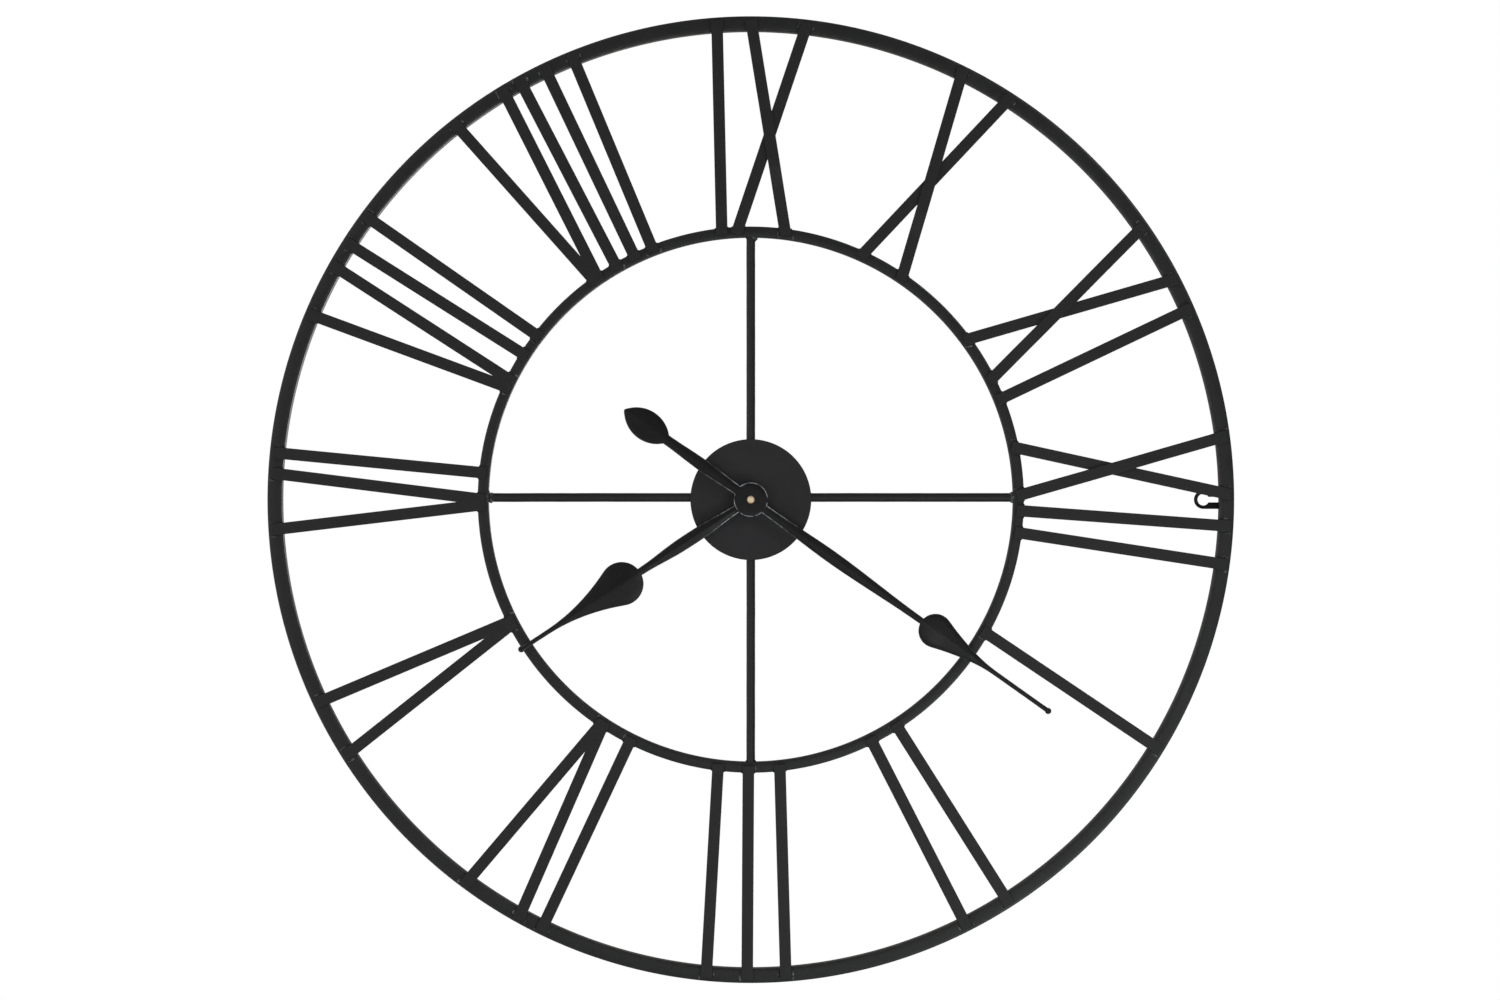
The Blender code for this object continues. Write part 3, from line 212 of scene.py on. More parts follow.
class Shader:
    """A Principled material whose inputs are wired one after another."""

    def __init__(self, name, **constants):
        self.material = bpy.data.materials.new(name)
        self.material.use_nodes = True
        self.tree = self.material.node_tree
        self.shader = self.tree.nodes["Principled BSDF"]
        self.coordinates = self.tree.nodes.new("ShaderNodeTexCoord").outputs["Object"]
        for socket, value in constants.items():
            self.shader.inputs[socket.replace("_", " ")].default_value = value

    def add(self, kind, inputs=(), **settings):
        made = self.tree.nodes.new("ShaderNode" + kind)
        for key, value in settings.items():
            setattr(made, key, value)
        for key, value in dict(inputs).items():
            if isinstance(value, bpy.types.NodeSocket):
                self.tree.links.new(value, made.inputs[key])
            else:
                made.inputs[key].default_value = value
        return made

    def noise(self, scale, detail=3.0, roughness=0.55, stretch=None):
        vector = self.coordinates
        if stretch:
            vector = self.add("Mapping", {"Vector": vector, "Scale": stretch}).outputs[0]
        inputs = {"Vector": vector, "Scale": scale, "Detail": detail, "Roughness": roughness}
        return self.add("TexNoise", inputs).outputs["Fac"]

    def lines(self, scale, distortion, detail, **settings):
        inputs = {
            "Vector": self.coordinates, "Scale": scale, "Distortion": distortion, "Detail": detail,
        }
        return self.add("TexWave", inputs, **settings).outputs["Fac"]

    def attribute(self, name):
        return self.add("Attribute", attribute_name=name).outputs["Fac"]

    def math(self, operation, a, b=0.5, clamp=False):
        return self.add("Math", {0: a, 1: b}, operation=operation, use_clamp=clamp).outputs[0]

    def ranged(self, value, low, high, to_low=0.0, to_high=1.0):
        inputs = {
            "Value": value, "From Min": low, "From Max": high, "To Min": to_low, "To Max": to_high,
        }
        return self.add("MapRange", inputs).outputs[0]

    def ramp(self, value, *stops):
        made = self.add("ValToRGB", {"Fac": value})
        elements = made.color_ramp.elements
        while len(elements) < len(stops):
            elements.new(0.5)
        for element, (place, colour) in zip(elements, stops):
            element.position = place
            element.color = (*colour, 1)
        return made.outputs["Color"]

    def mix(self, share, a, b):
        made = self.add("Mix", data_type="RGBA")
        for socket, value in ((0, share), (6, a), (7, b)):
            if isinstance(value, bpy.types.NodeSocket):
                self.tree.links.new(value, made.inputs[socket])
            else:
                made.inputs[socket].default_value = value if socket == 0 else (*value, 1)
        return made.outputs[2]

    def bump(self, height, distance, strength=1.0, under=None):
        inputs = {"Height": height, "Distance": distance, "Strength": strength}
        if under:
            inputs["Normal"] = under
        return self.add("Bump", inputs).outputs[0]

    def wire(self, **sockets):
        for socket, value in sockets.items():
            self.tree.links.new(value, self.shader.inputs[socket.replace("_", " ")])
        return self.material


def grey(value, tint=(1, 1, 1)):
    return tuple(value * t for t in tint)


def paint(name, tone, tint, roughness, worn_and_painted_light, grain=0.035, specular=0.5, peel=0.06):
    """Sprayed black paint over steel: orange peel, dust grain, uneven gloss, and lighter edges:
    worn paint on most parts, a painted highlight on the hands and, in part, on the welds.
    """
    s = Shader(name, Specular_IOR_Level=specular)
    broad = s.noise(28, 4)
    fine = s.noise(1500, 2)
    dust = s.noise(620, 4, 0.7)
    mottle = s.math("ADD", s.math("MULTIPLY", broad, 0.6), s.math("MULTIPLY", dust, 0.4))
    colour = s.ramp(
        mottle,
        (0.3, grey(tone * 0.72, tint)), (0.5, grey(tone, tint)), (0.72, grey(tone * 1.35, tint)),
    )
    # lighter grey along the marked edges, in patches: worn paint, but on the hands and welds a
    # painted highlight
    rubbed_and_painted_light = s.ranged(s.noise(170, 4, 0.65), 0.38, 0.66)
    share = s.math("MULTIPLY", s.attribute("wear_and_painted_light"), rubbed_and_painted_light, clamp=True)
    colour = s.mix(share, colour, grey(worn_and_painted_light, tint))
    uneven = s.math("ADD", s.math("MULTIPLY", s.noise(45, 3), 0.6), s.math("MULTIPLY", dust, 0.4))
    gloss = s.ranged(uneven, 0.3, 0.7, roughness - 0.07, roughness + 0.09)
    orange = s.bump(s.noise(330, 2, 0.4), peel * MM)
    normal = s.bump(fine, grain * MM, 0.8, orange)
    return s.wire(Base_Color=colour, Roughness=gloss, Normal=normal)


def make_materials():
    made = {}
    pressed = {"grain": 0.01, "specular": 0.4, "peel": 0.025}
    for key, tone, tint, roughness, worn_and_painted_light, more in (
        ("frame", 0.0085, (1.0, 1.0, 1.04), 0.45, 0.05, {}),
        ("ring", 0.0095, (0.95, 1.0, 1.08), 0.4, 0.05, {}),
        ("disc", 0.0185, (1.0, 1.0, 1.12), 0.52, 0.05, {"grain": 0.02, "specular": 0.4}),
        # the hands' edge grey of 0.6 is a painted highlight round the boss
        ("hand", 0.004, (0.94, 1.0, 1.06), 0.32, 0.6, pressed),
        ("hanger", 0.004, (1, 1, 1), 0.45, 0.03, {"specular": 0.3}),
        # the welds' edge grey of 0.28 is partly chipped paint, partly a painted highlight on the
        # beads
        ("weld", 0.016, (0.96, 1.0, 1.04), 0.29, 0.28, {"grain": 0.05, "peel": 0.16}),
    ):
        made[key] = paint(f"{key}_paint", tone, tint, roughness, worn_and_painted_light, **more)

    # cream brass, lighter than brass itself as a painted reflection of the front lamp; on marked
    # faces, the cap's dome rim and sides and the nut's rounded edges, it turns dark orange as
    # painted shade
    s = Shader("brass", Metallic=0.35)
    turned = s.lines(420, 1.5, 2, wave_type="RINGS", rings_direction="Y")
    tarnish = s.noise(260, 4)
    brass_and_painted_highlight = s.ramp(tarnish, (0.3, (1.0, 0.8, 0.5)), (0.7, (1.0, 0.94, 0.76)))
    colour = s.mix(s.attribute("wear_and_painted_light"), brass_and_painted_highlight, (0.42, 0.17, 0.04))
    made["brass"] = s.wire(
        Base_Color=colour, Roughness=s.ranged(tarnish, 0.2, 0.8, 0.34, 0.5),
        Normal=s.bump(turned, 0.01 * MM, 0.5),
    )

    s = Shader("zinc_steel", Metallic=1.0)
    patch = s.noise(180, 4)
    made["steel"] = s.wire(
        Base_Color=s.ramp(patch, (0.3, (0.42, 0.43, 0.45)), (0.7, (0.66, 0.67, 0.68))),
        Roughness=s.ranged(patch, 0.3, 0.7, 0.28, 0.46),
        Normal=s.bump(s.noise(900, 3, 0.6, (1, 1, 14)), 0.02 * MM, 0.5),
    )

    s = Shader("rubber", Specular_IOR_Level=0.3)
    made["rubber"] = s.wire(
        Base_Color=s.ramp(s.noise(220, 4), (0.3, grey(0.012)), (0.7, grey(0.028))),
        Roughness=s.ranged(s.noise(500), 0.3, 0.7, 0.7, 0.9),
        Normal=s.bump(s.noise(1400, 2), 0.03 * MM),
    )

    for key, name, tone in (("plastic", "case_plastic", 0.015), ("knob", "knob_plastic", 0.07)):
        s = Shader(name, Specular_IOR_Level=0.45)
        spark = s.noise(1900, 2, 0.6)
        rubbed_and_painted_light = s.math("MULTIPLY", s.attribute("wear_and_painted_light"), s.ranged(s.noise(140, 4), 0.4, 0.7))
        base = s.ramp(s.noise(60, 4), (0.3, grey(tone * 0.85)), (0.7, grey(tone * 1.3)))
        made[key] = s.wire(
            Base_Color=s.mix(rubbed_and_painted_light, base, grey(tone * 4)),
            Roughness=s.ranged(s.noise(90, 4), 0.3, 0.7, 0.42, 0.6),
            Normal=s.bump(spark, 0.05 * MM, 0.8),
        )

    s = Shader("wheel_plastic", Specular_IOR_Level=0.5)
    s.shader.inputs["Subsurface Weight"].default_value = 0.08
    s.shader.inputs["Subsurface Scale"].default_value = 0.4 * MM
    milky = s.noise(240, 3)
    made["wheel"] = s.wire(
        Base_Color=s.ramp(milky, (0.3, (0.72, 0.7, 0.62)), (0.7, (0.86, 0.84, 0.78))),
        Roughness=s.ranged(milky, 0.3, 0.7, 0.35, 0.5),
        Normal=s.bump(s.noise(1500, 2), 0.01 * MM),
    )

    s = Shader("copper_wire", Metallic=0.9)
    turns = s.lines(1600, 0.4, 1, wave_type="BANDS", bands_direction="X")
    # the colour follows the turns: darker in the grooves between them, a painted shade
    made["copper"] = s.wire(
        Base_Color=s.ramp(turns, (0.1, (0.28, 0.09, 0.04)), (0.8, (0.75, 0.31, 0.14))),
        Roughness=s.ranged(s.noise(300), 0.3, 0.7, 0.25, 0.4),
        Normal=s.bump(turns, 0.08 * MM),
    )

    s = Shader("circuit_board")
    tracks = s.add("TexBrick", {
        "Vector": s.coordinates, "Scale": 260, "Mortar Size": 0.025,
        "Color1": (0, 0, 0, 1), "Color2": (0, 0, 0, 1), "Mortar": (1, 1, 1, 1),
    }).outputs["Color"]
    base = s.ramp(s.noise(130, 4), (0.3, (0.01, 0.08, 0.035)), (0.7, (0.02, 0.13, 0.055)))
    made["board"] = s.wire(
        Base_Color=s.mix(tracks, base, (0.05, 0.24, 0.1)),
        Roughness=s.ranged(s.noise(300), 0.3, 0.7, 0.3, 0.45),
        Normal=s.bump(tracks, 0.03 * MM),
    )

    low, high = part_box("battery")
    s = Shader("battery_jacket", Specular_IOR_Level=0.55)
    along = s.ranged(s.add("SeparateXYZ", {0: s.coordinates}).outputs["X"], low.x, high.x)
    jacket = s.ramp(
        along, (0.0, (0.4, 0.4, 0.41)), (0.03, (0.4, 0.4, 0.41)),
        (0.034, (0.03, 0.085, 0.1)), (0.7, (0.035, 0.095, 0.11)),
        (0.704, (0.5, 0.52, 0.52)), (0.955, (0.55, 0.56, 0.56)), (0.96, (0.5, 0.5, 0.52)),
    )
    scuffs = s.ranged(s.noise(90, 5, 0.7, (1, 8, 8)), 0.58, 0.7, 0.0, 0.25)
    made["battery"] = s.wire(
        Base_Color=s.mix(scuffs, jacket, grey(0.3)),
        Roughness=s.ranged(s.noise(120, 3), 0.3, 0.7, 0.22, 0.38),
        Metallic=s.ramp(
            along, (0.0, grey(0.9)), (0.03, grey(0.9)), (0.034, grey(0.1)), (0.955, grey(0.1)),
            (0.96, grey(0.95)),
        ),
        Normal=s.bump(s.noise(200, 2), 0.03 * MM),
    )

    s = Shader("floor_paint", Specular_IOR_Level=0.2)
    s.shader.inputs["Emission Color"].default_value = (1, 1, 1, 1)
    s.shader.inputs["Emission Strength"].default_value = 0.22
    made["floor"] = s.wire(
        Base_Color=s.ramp(s.noise(3, 3), (0.3, grey(0.86)), (0.7, grey(0.9))),
        Roughness=s.ranged(s.noise(8), 0.3, 0.7, 0.8, 0.95),
    )
    return made


looks = make_materials()

# ---- the rings ----


def ring_piece(name, made_name, radius, tube, crown, corner, segments, seam):
    """A ring of square tube with round corners, its butt weld at the seam, and a drain hole."""
    low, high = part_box(name)
    mesh = new_bmesh()
    lathe(mesh, rounded_profile(radius - tube, radius, low.y, high.y, corner, crown), segments)
    # the tube's butt weld: a low uneven band across it
    for v in mesh.verts:
        x, z = v.co.x - CENTRE.x, v.co.z - CENTRE.z
        angle = math.atan2(x, z)
        away = ((angle - seam + math.pi) % (2 * math.pi) - math.pi) * radius / (1.6 * MM)
        swell = 0.12 * MM * math.exp(-away * away)
        reach = math.hypot(x, z)
        in_front = v.co.y < (low.y + high.y) / 2
        if in_front and swell > 0.002 * MM and radius - reach > 0.3 * MM:
            v.co.y -= swell * (1 + 0.4 * rough((reach - radius + tube / 2) * 900))
    made = piece(made_name, mesh, looks["ring"], "frame", (name,), sharp=60)
    # the drain hole in the tube's back
    centre = at_angle(radius - tube / 2, DRAIN_ANGLE, high.y)
    drill = bmesh.new()
    bmesh.ops.create_cone(
        drill, cap_ends=True, segments=32, radius1=DRAIN_RADIUS, radius2=DRAIN_RADIUS, depth=3 * MM
    )
    bmesh.ops.rotate(drill, matrix=Matrix.Rotation(math.pi / 2, 3, "X"), verts=drill.verts)
    bmesh.ops.translate(drill, vec=centre, verts=drill.verts)
    data = bpy.data.meshes.new("drill")
    drill.to_mesh(data)
    drill.free()
    cutter = bpy.data.objects.new("drill", data)
    bpy.context.scene.collection.objects.link(cutter)
    cut = made.modifiers.new("drain", "BOOLEAN")
    cut.object = cutter
    cut.operation = "DIFFERENCE"
    cut.solver = "EXACT"
    graph = bpy.context.evaluated_depsgraph_get()
    whole = bpy.data.meshes.new_from_object(made.evaluated_get(graph), depsgraph=graph)
    made.modifiers.clear()
    made.data = whole
    bpy.data.objects.remove(cutter)


ring_piece(
    "outer_ring", "ring_outer", RING_RADIUS, RING_TUBE,
    crown=0.25 * MM, corner=1.5 * MM, segments=480, seam=math.radians(187),
)
ring_piece(
    "inner_ring", "ring_inner", SMALL_RADIUS, SMALL_TUBE,
    crown=0.2 * MM, corner=1.2 * MM, segments=320, seam=math.radians(20),
)

# ---- the numerals' strips and their welds ----

STRIPS = sorted(n for n in nodes if n.startswith("numeral_"))
_, strip_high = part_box("numeral_01_i")
STRIP_BACK = strip_high.y


def seam_points(mesh, radius):
    """Where a strip's long back edges cross a circle: (point, edge's way out, side's normal)."""
    found = []
    for edge in mesh.edges:
        a, b = edge.verts[0].co, edge.verts[1].co
        if max(abs(a.y - STRIP_BACK), abs(b.y - STRIP_BACK)) > 0.05 * MM:
            continue
        ra, rb = (a - CENTRE).xz.length, (b - CENTRE).xz.length
        if (ra - radius) * (rb - radius) >= 0 or len(edge.link_faces) != 2:
            continue
        side = min(edge.link_faces, key=lambda f: abs(f.normal.y))
        if abs(side.normal.y) > 0.3:
            continue
        way = (b - a).normalized() * (1 if rb > ra else -1)
        share = (radius - ra) / (rb - ra)
        point = a.lerp(b, share)
        found.append((point, way, side.normal.copy()))
    return found


def strip_pieces():
    """The strips, and the weld metal beside each end: in the corner and on the ring's front."""
    welds = {"outer": new_bmesh(), "inner": new_bmesh()}
    crossings = (
        ("outer", RING_RADIUS - RING_TUBE, RING_TUBE, 1, 0.0),
        ("inner", SMALL_RADIUS, SMALL_TUBE, -1, 0.3),
    )
    seed = 0
    for name in STRIPS:
        mesh = cad_mesh(name)
        mesh.normal_update()
        for where, radius, tube, sign, rarity in crossings:
            for point, way, normal in seam_points(mesh, radius):
                seed += 1
                way = way * sign
                radial = (point - CENTRE).normalized() * sign
                corner = point - radial * 0.1 * MM
                corner.y = RING_FRONT + 0.1 * MM
                spread = 2.2 + 0.9 * rough(seed + 0.5)
                add_bead(
                    welds[where], corner, normal + radial * 0.2, FORWARD,
                    (spread * MM, 1.1 * MM, 1.8 * MM), seed, 0.2,
                )
                for i, share in enumerate((0.48, 0.72)):
                    pick = rough(seed * 3.7 + i)
                    if pick < rarity:
                        continue
                    along = tube * (share + 0.12 * rough(seed + i * 7.3))
                    place = point + way * along + normal * MM
                    place.y = STRIP_BACK + 0.1 * MM
                    # these beads on the ring's front get much of the light edge grey: partly
                    # chipped paint, partly a painted highlight
                    add_bead(
                        welds[where], place, way, FORWARD,
                        ((3.2 + 2 * pick) * MM, (2.0 + 0.6 * pick) * MM, (1.2 + 0.5 * pick) * MM),
                        seed + i * 0.37, 0.3 + 0.6 * pick,
                    )
        bevel_edges(mesh, 0.35 * MM, wear_and_painted_light=0.2)
        made_name = name.replace("numeral", "strip")
        piece(
            made_name, mesh, looks["frame"], "frame", (name,),
            sharp=50, weighted=True,
        )
    for where, mesh in welds.items():
        piece(f"strip_welds_{where}", mesh, looks["weld"], "frame", (), sharp=80)


strip_pieces()

# ---- the spokes and the disc ----


def spoke_piece(name, hour):
    """A drawn rod: round, very slightly uneven along its length."""
    low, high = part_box(name)
    angle = hour * math.pi / 6
    out = Vector((math.sin(angle), 0, math.cos(angle)))
    radius = (high.y - low.y) / 2
    middle = (low + high) / 2
    half = ((high.x - low.x) * abs(out.x) + (high.z - low.z) * abs(out.z)) / 2
    inner = middle - out * half
    outer = middle + out * (half + 0.8 * MM)
    count, around = 60, 32
    side = Vector((math.cos(angle), 0, -math.sin(angle)))
    mesh = new_bmesh()
    rings = []
    for i in range(count + 1):
        share = i / count
        wobble = side * 0.12 * MM * noise.noise(Vector((share * 5, hour, 0)))
        place = inner.lerp(outer, share) + wobble
        ring = []
        for j in range(around):
            t = 2 * math.pi * j / around
            uneven = noise.noise(Vector((share * 20, math.cos(t), hour + math.sin(t))))
            r = radius * (0.985 + 0.015 * uneven)
            ring.append(mesh.verts.new(place + side * r * math.cos(t) + BACKWARD * r * math.sin(t)))
        rings.append(ring)
    for ring, following in zip(rings, rings[1:]):
        for j in range(around):
            k = (j + 1) % around
            mesh.faces.new((ring[j], ring[k], following[k], following[j]))
    mesh.faces.new(rings[0])
    mesh.faces.new(rings[-1])
    piece(f"rod_{hour:02d}", mesh, looks["frame"], "frame", (name,), sharp=60)
    return out, side, radius, middle


# lumps of weld at each rod's outer end: (along the rod from the ring's wall, across it, how far
# in front of the rod's axis, size), in millimetres
ROD_WELDS = {
    6: (
        (-2.0, -2.6, 2.6, 4.2), (-2.4, 2.2, 2.8, 4.0), (1.2, -3.0, 3.2, 4.6), (1.6, 1.4, 3.6, 4.8),
        (3.8, -1.0, 3.4, 4.2), (-4.0, 0.2, 2.6, 3.4), (0.2, 4.2, 2.0, 3.0),
    ),
    12: (
        (-1.2, -2.6, 2.0, 4.2), (-1.0, 2.4, 2.2, 4.4), (-0.4, 0.0, 3.0, 4.6), (0.8, -3.6, 1.4, 3.0),
    ),
    9: (
        (-1.0, 3.4, 1.2, 4.6), (-0.2, 2.4, 2.8, 3.8), (-0.6, -2.6, 0.8, 3.0), (-2.4, 3.0, 0.6, 3.0),
    ),
    3: ((-0.4, -3.0, 0.6, 2.8), (-0.4, 3.0, 0.4, 2.8), (0.0, 0.6, 2.6, 3.4)),
}


def rods():
    welds = new_bmesh()
    disc_low, disc_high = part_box("dial_disc")
    disc_radius = (disc_high.x - disc_low.x) / 2
    for hour, lumps in ROD_WELDS.items():
        out, side, radius, middle = spoke_piece(f"spoke_{hour:02d}", hour)
        across = middle - CENTRE
        across = side * across.dot(side)
        wall = SMALL_RADIUS - SMALL_TUBE
        for number, (along, aside, front, width) in enumerate(lumps):
            place = CENTRE + out * (wall + along * MM) + across + side * aside * MM
            place.y = middle.y - front * MM * 0.9
            size = (width * MM, width * 0.85 * MM, width * 0.7 * MM)
            add_bead(welds, place, side, FORWARD, size, hour + number * 0.61, 0.4)
        # a tack between the rod and the disc's rim
        for aside in (-1, 1):
            place = CENTRE + out * (disc_radius - 0.9 * MM) + across + side * aside * radius * 0.8
            place.y = disc_high.y + 0.9 * MM
            size = ((3.6 + rough(hour + aside * 1.9)) * MM, 2 * MM, 1.9 * MM)
            add_bead(welds, place, out, side * aside, size, hour + aside * 0.2, 0.2)
    piece("rod_welds", welds, looks["weld"], "frame", (), sharp=80)


rods()


def disc_piece():
    low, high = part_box("dial_disc")
    radius = (high.x - low.x) / 2
    hole = 5.2 * MM
    mesh = new_bmesh()
    lathe(mesh, rounded_profile(hole, radius, low.y, high.y, 0.45 * MM, 0.0, 3, 0.6), 192)
    piece(
        "disc", mesh, looks["disc"], "frame", ("dial_disc",), sharp=50, weighted=True
    )


disc_piece()

# ---- the hands ----


def smoothstep(low, high, value):
    t = min(max((value - low) / (high - low), 0), 1)
    return t * t * (3 - 2 * t)


def hand_frame(name):
    """The hand's own directions, from the CAD: along it towards the tip, and across it."""
    points = [v.co - CENTRE for v in nodes[name].data.vertices]
    tip = max(points, key=lambda p: p.xz.length)
    along = Vector((tip.x, 0, tip.z)).normalized()
    return along, Vector((along.z, 0, -along.x)), points


def hand_outline(points, along, across, front):
    """The right side of the hand's outline as (along, half width), from tail to tip."""
    found = {}
    for p in points:
        u, v = p.dot(along), p.dot(across)
        if abs(p.y - front) < 0.02 * MM and v > -0.01 * MM and p.xz.length > 4.5 * MM:
            found[round(u * 1e5), round(v * 1e5)] = (u, max(v, 0))
    ordered = sorted(found.values())
    if ordered[0][1] > 0.01 * MM:
        ordered.insert(0, (ordered[0][0], 0))
    return [Vector(p) for p in ordered]


def refined(outline):
    """More points along the curved parts, by a spline that keeps the corners."""
    made = []
    count = len(outline)
    for i in range(count - 1):
        p1, p2 = outline[i], outline[i + 1]
        p0 = outline[i - 1] if i else Vector((p1.x, -p2.y))
        p3 = outline[i + 2] if i + 2 < count else Vector((p2.x, -p1.y))
        if i and (p1 - p0).angle(p2 - p1, 0) > math.radians(38):
            p0 = 2 * p1 - p2
        if i + 2 < count and (p3 - p2).angle(p2 - p1, 0) > math.radians(38):
            p3 = 2 * p2 - p1
        steps = max(2, min(8, round((p2 - p1).length / (1.6 * MM))))
        for k in range(steps):
            t = k / steps
            chord = (p2 - p1).length
            m1 = (p2 - p0) * chord / max((p2 - p0).length, 1e-9)
            m2 = (p3 - p1) * chord / max((p3 - p1).length, 1e-9)
            made.append(
                p1 * (2 * t**3 - 3 * t**2 + 1) + m1 * (t**3 - 2 * t**2 + t)
                + p2 * (3 * t**2 - 2 * t**3) + m2 * (t**3 - t**2)
            )
    made.append(outline[-1])
    return [Vector((p.x, max(p.y, 0))) for p in made]


HAND_THICKNESS = 1.2 * MM
HAND_RIM = 0.65 * MM  # how far the pressed edge is rounded over
FOLD_DEPTH = 0.95 * MM  # how far the widest parts bend back from the ridge
COLLAR_WALL = 1.5 * MM


def hand_piece(name, made_name, body, bore):
    """A pressed hand: a ridge along its middle, a rim painted light grey round the boss as a
    highlight, and a collar round its bore.
    """
    low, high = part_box(name)
    along, across, points = hand_frame(name)
    front = low.y
    back = front + HAND_THICKNESS
    outline = refined(hand_outline(points, along, across, front))
    inner = []
    for i, p in enumerate(outline):
        before = outline[i - 1] if i else Vector((p.x, -outline[1].y))
        after = outline[i + 1] if i + 1 < len(outline) else Vector((p.x, -outline[-2].y))
        way = (after - before).normalized()
        inward = Vector((way.y, -way.x))
        q = p + inward * min(HAND_RIM, max(p.y * 0.45, 0.12 * MM))
        inner.append(Vector((q.x, max(q.y, 0))))
    for i in range(1, len(inner)):
        inner[i].x = max(inner[i].x, inner[i - 1].x + 1e-7)
    mesh = new_bmesh()
    layer = wear_and_painted_light_layer(mesh)
    shares = (0, 0.07, 0.3, 0.65, 1)

    def put(u, v, y):
        return mesh.verts.new(CENTRE + along * u + across * v + Vector((0, y, 0)))

    rows = []
    for p, q in zip(outline, inner):
        width = q.y
        fold = FOLD_DEPTH * (1 - math.exp(-width / (9 * MM)))
        fold *= smoothstep(11 * MM, 20 * MM, abs(q.x))  # the boss stays flat
        edge = front + fold + 0.3 * MM * (1 - 0.6 * fold / MM)
        row = [put(p.x, -p.y, back), put(p.x, -p.y, edge)]
        for share in [-x for x in reversed(shares[1:])] + list(shares):
            lift = abs(share) ** 1.12 if abs(share) > 0.08 else abs(share) * 0.5
            row.append(put(q.x, share * width, front + fold * lift))
        row += [put(p.x, p.y, edge), put(p.x, p.y, back)]
        rows.append(row)
    last = len(rows[0]) - 1
    for row, following in zip(rows, rows[1:]):
        near = (row[0].co - CENTRE).xz.length
        for j in range(last + 1):
            k = (j + 1) % (last + 1)
            face = mesh.faces.new((row[j], row[k], following[k], following[j]))
            # the rim's faces get the light edge grey, full within 14 mm of the axis and down to an
            # eighth by 48 mm: a painted highlight
            if j in (1, last - 2):
                face[layer] = 0.12 + 0.88 * (1 - smoothstep(14 * MM, 48 * MM, near))
    bmesh.ops.remove_doubles(mesh, verts=mesh.verts, dist=0.004 * MM)
    bmesh.ops.dissolve_degenerate(mesh, edges=mesh.edges, dist=0.002 * MM)
    start, outside = back - 0.2 * MM, bore + COLLAR_WALL
    collar = [(bore, start, 0), (outside, start, 0), (outside, high.y, 0), (bore, high.y, 0)]
    lathe(mesh, collar, 40)
    piece(made_name, mesh, looks["hand"], body, (name,), sharp=28)


hand_piece("hour_hand", "hand_hour", "hour", 3.3 * MM)
hand_piece("minute_hand", "hand_minute", "minute", 2.05 * MM)


def hand_nut_piece():
    """A turned brass cap with a small dimpled dome."""
    low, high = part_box("hand_nut")
    radius = (high.x - low.x) / 2
    y0, y1 = low.y, high.y
    # the third column is the edge mask: the brass darkens towards the dome's rim and sides, a
    # painted shade where the dome turns from the lamps
    dome = (
        (0, 0.22, 0), (0.35, 0.2, 0), (0.6, 0.04, 0), (0.9, 0, 0), (1.5, 0.1, 0), (2.1, 0.34, 0),
        (2.6, 0.7, 0.25), (2.9, 1.1, 0.7),
    )
    profile = [(r * MM, y0 + y * MM, worn_and_painted_light) for r, y, worn_and_painted_light in dome]
    profile += [
        (radius - 0.1 * MM, y0 + 1.5 * MM, 0.9), (radius, y0 + 1.7 * MM, 0.9),
        (radius, y1 - 0.15 * MM, 0.9), (radius - 0.15 * MM, y1, 0.9), (0, y1, 0.9),
    ]
    mesh = new_bmesh()
    lathe(mesh, profile, 64)
    piece("brass_cap", mesh, looks["brass"], "minute", ("hand_nut",), sharp=50)


hand_nut_piece()

# ---- the hanger ----


def hanger_pieces():
    cad_piece(
        "keyhole_hanger", "hanger", looks["hanger"], "frame",
        bevel=0.25, angle=40, wear_and_painted_light=0.8,
    )
    low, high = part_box("keyhole_hanger")
    welds = new_bmesh()
    y = ring_high.y + 0.3 * MM
    size = (3.2 * MM, 2 * MM, 2.2 * MM)
    spots = ((low.x, 1.5), (low.x, 3.6), (high.x, 1.2), (high.x, 3.4))
    for i, (x, below) in enumerate(spots):
        place = Vector((x * 0.985, y, high.z - below * MM))
        add_bead(welds, place, UP, BACKWARD, size, 40 + i, 0.4)
    piece("hanger_welds", welds, looks["weld"], "frame", (), sharp=80)


hanger_pieces()

# ---- the movement ----

cad_piece("rubber_gasket", "gasket", looks["rubber"], "frame", 0.2)
cad_piece("washer", "nut_washer", looks["steel"], "frame", 0.12)
cad_piece("hex_nut", "neck_nut", looks["brass"], "frame", 0.3)
cad_piece("front_case", "case_front", looks["plastic"], "frame", 0.3, 50)
cad_piece("rear_case", "case_rear", looks["plastic"], "frame", 0.3, 50)
cad_piece("setting_knob", "knob", looks["knob"], "knob", 0.12, 50)


def add_plate(mesh, outline, y_front, y_back, wear_and_painted_light=0.3):
    """A raised shape with an outline of (x, z) points, slightly narrower at its back."""
    layer = wear_and_painted_light_layer(mesh)
    count = len(outline)
    cx = sum(p[0] for p in outline) / count
    cz = sum(p[1] for p in outline) / count
    rows = []
    for y, inset in ((y_front, 0.0), (y_back - 0.06 * MM, 0.0), (y_back, 0.08 * MM)):
        row = []
        for x, z in outline:
            away = Vector((x - cx, z - cz))
            away = away * (1 - inset / max(away.length, 0.2 * MM))
            row.append(mesh.verts.new((cx + away.x, y, cz + away.y)))
        rows.append(row)
    for row, following in zip(rows, rows[1:]):
        for j in range(count):
            k = (j + 1) % count
            mesh.faces.new((row[j], row[k], following[k], following[j]))[layer] = wear_and_painted_light
    mesh.faces.new(rows[0])
    mesh.faces.new(rows[-1])


def box_outline(x0, x1, z0, z1):
    """The corners of an upright rectangle, for add_plate."""
    return ((x0, z0), (x1, z0), (x1, z1), (x0, z1))


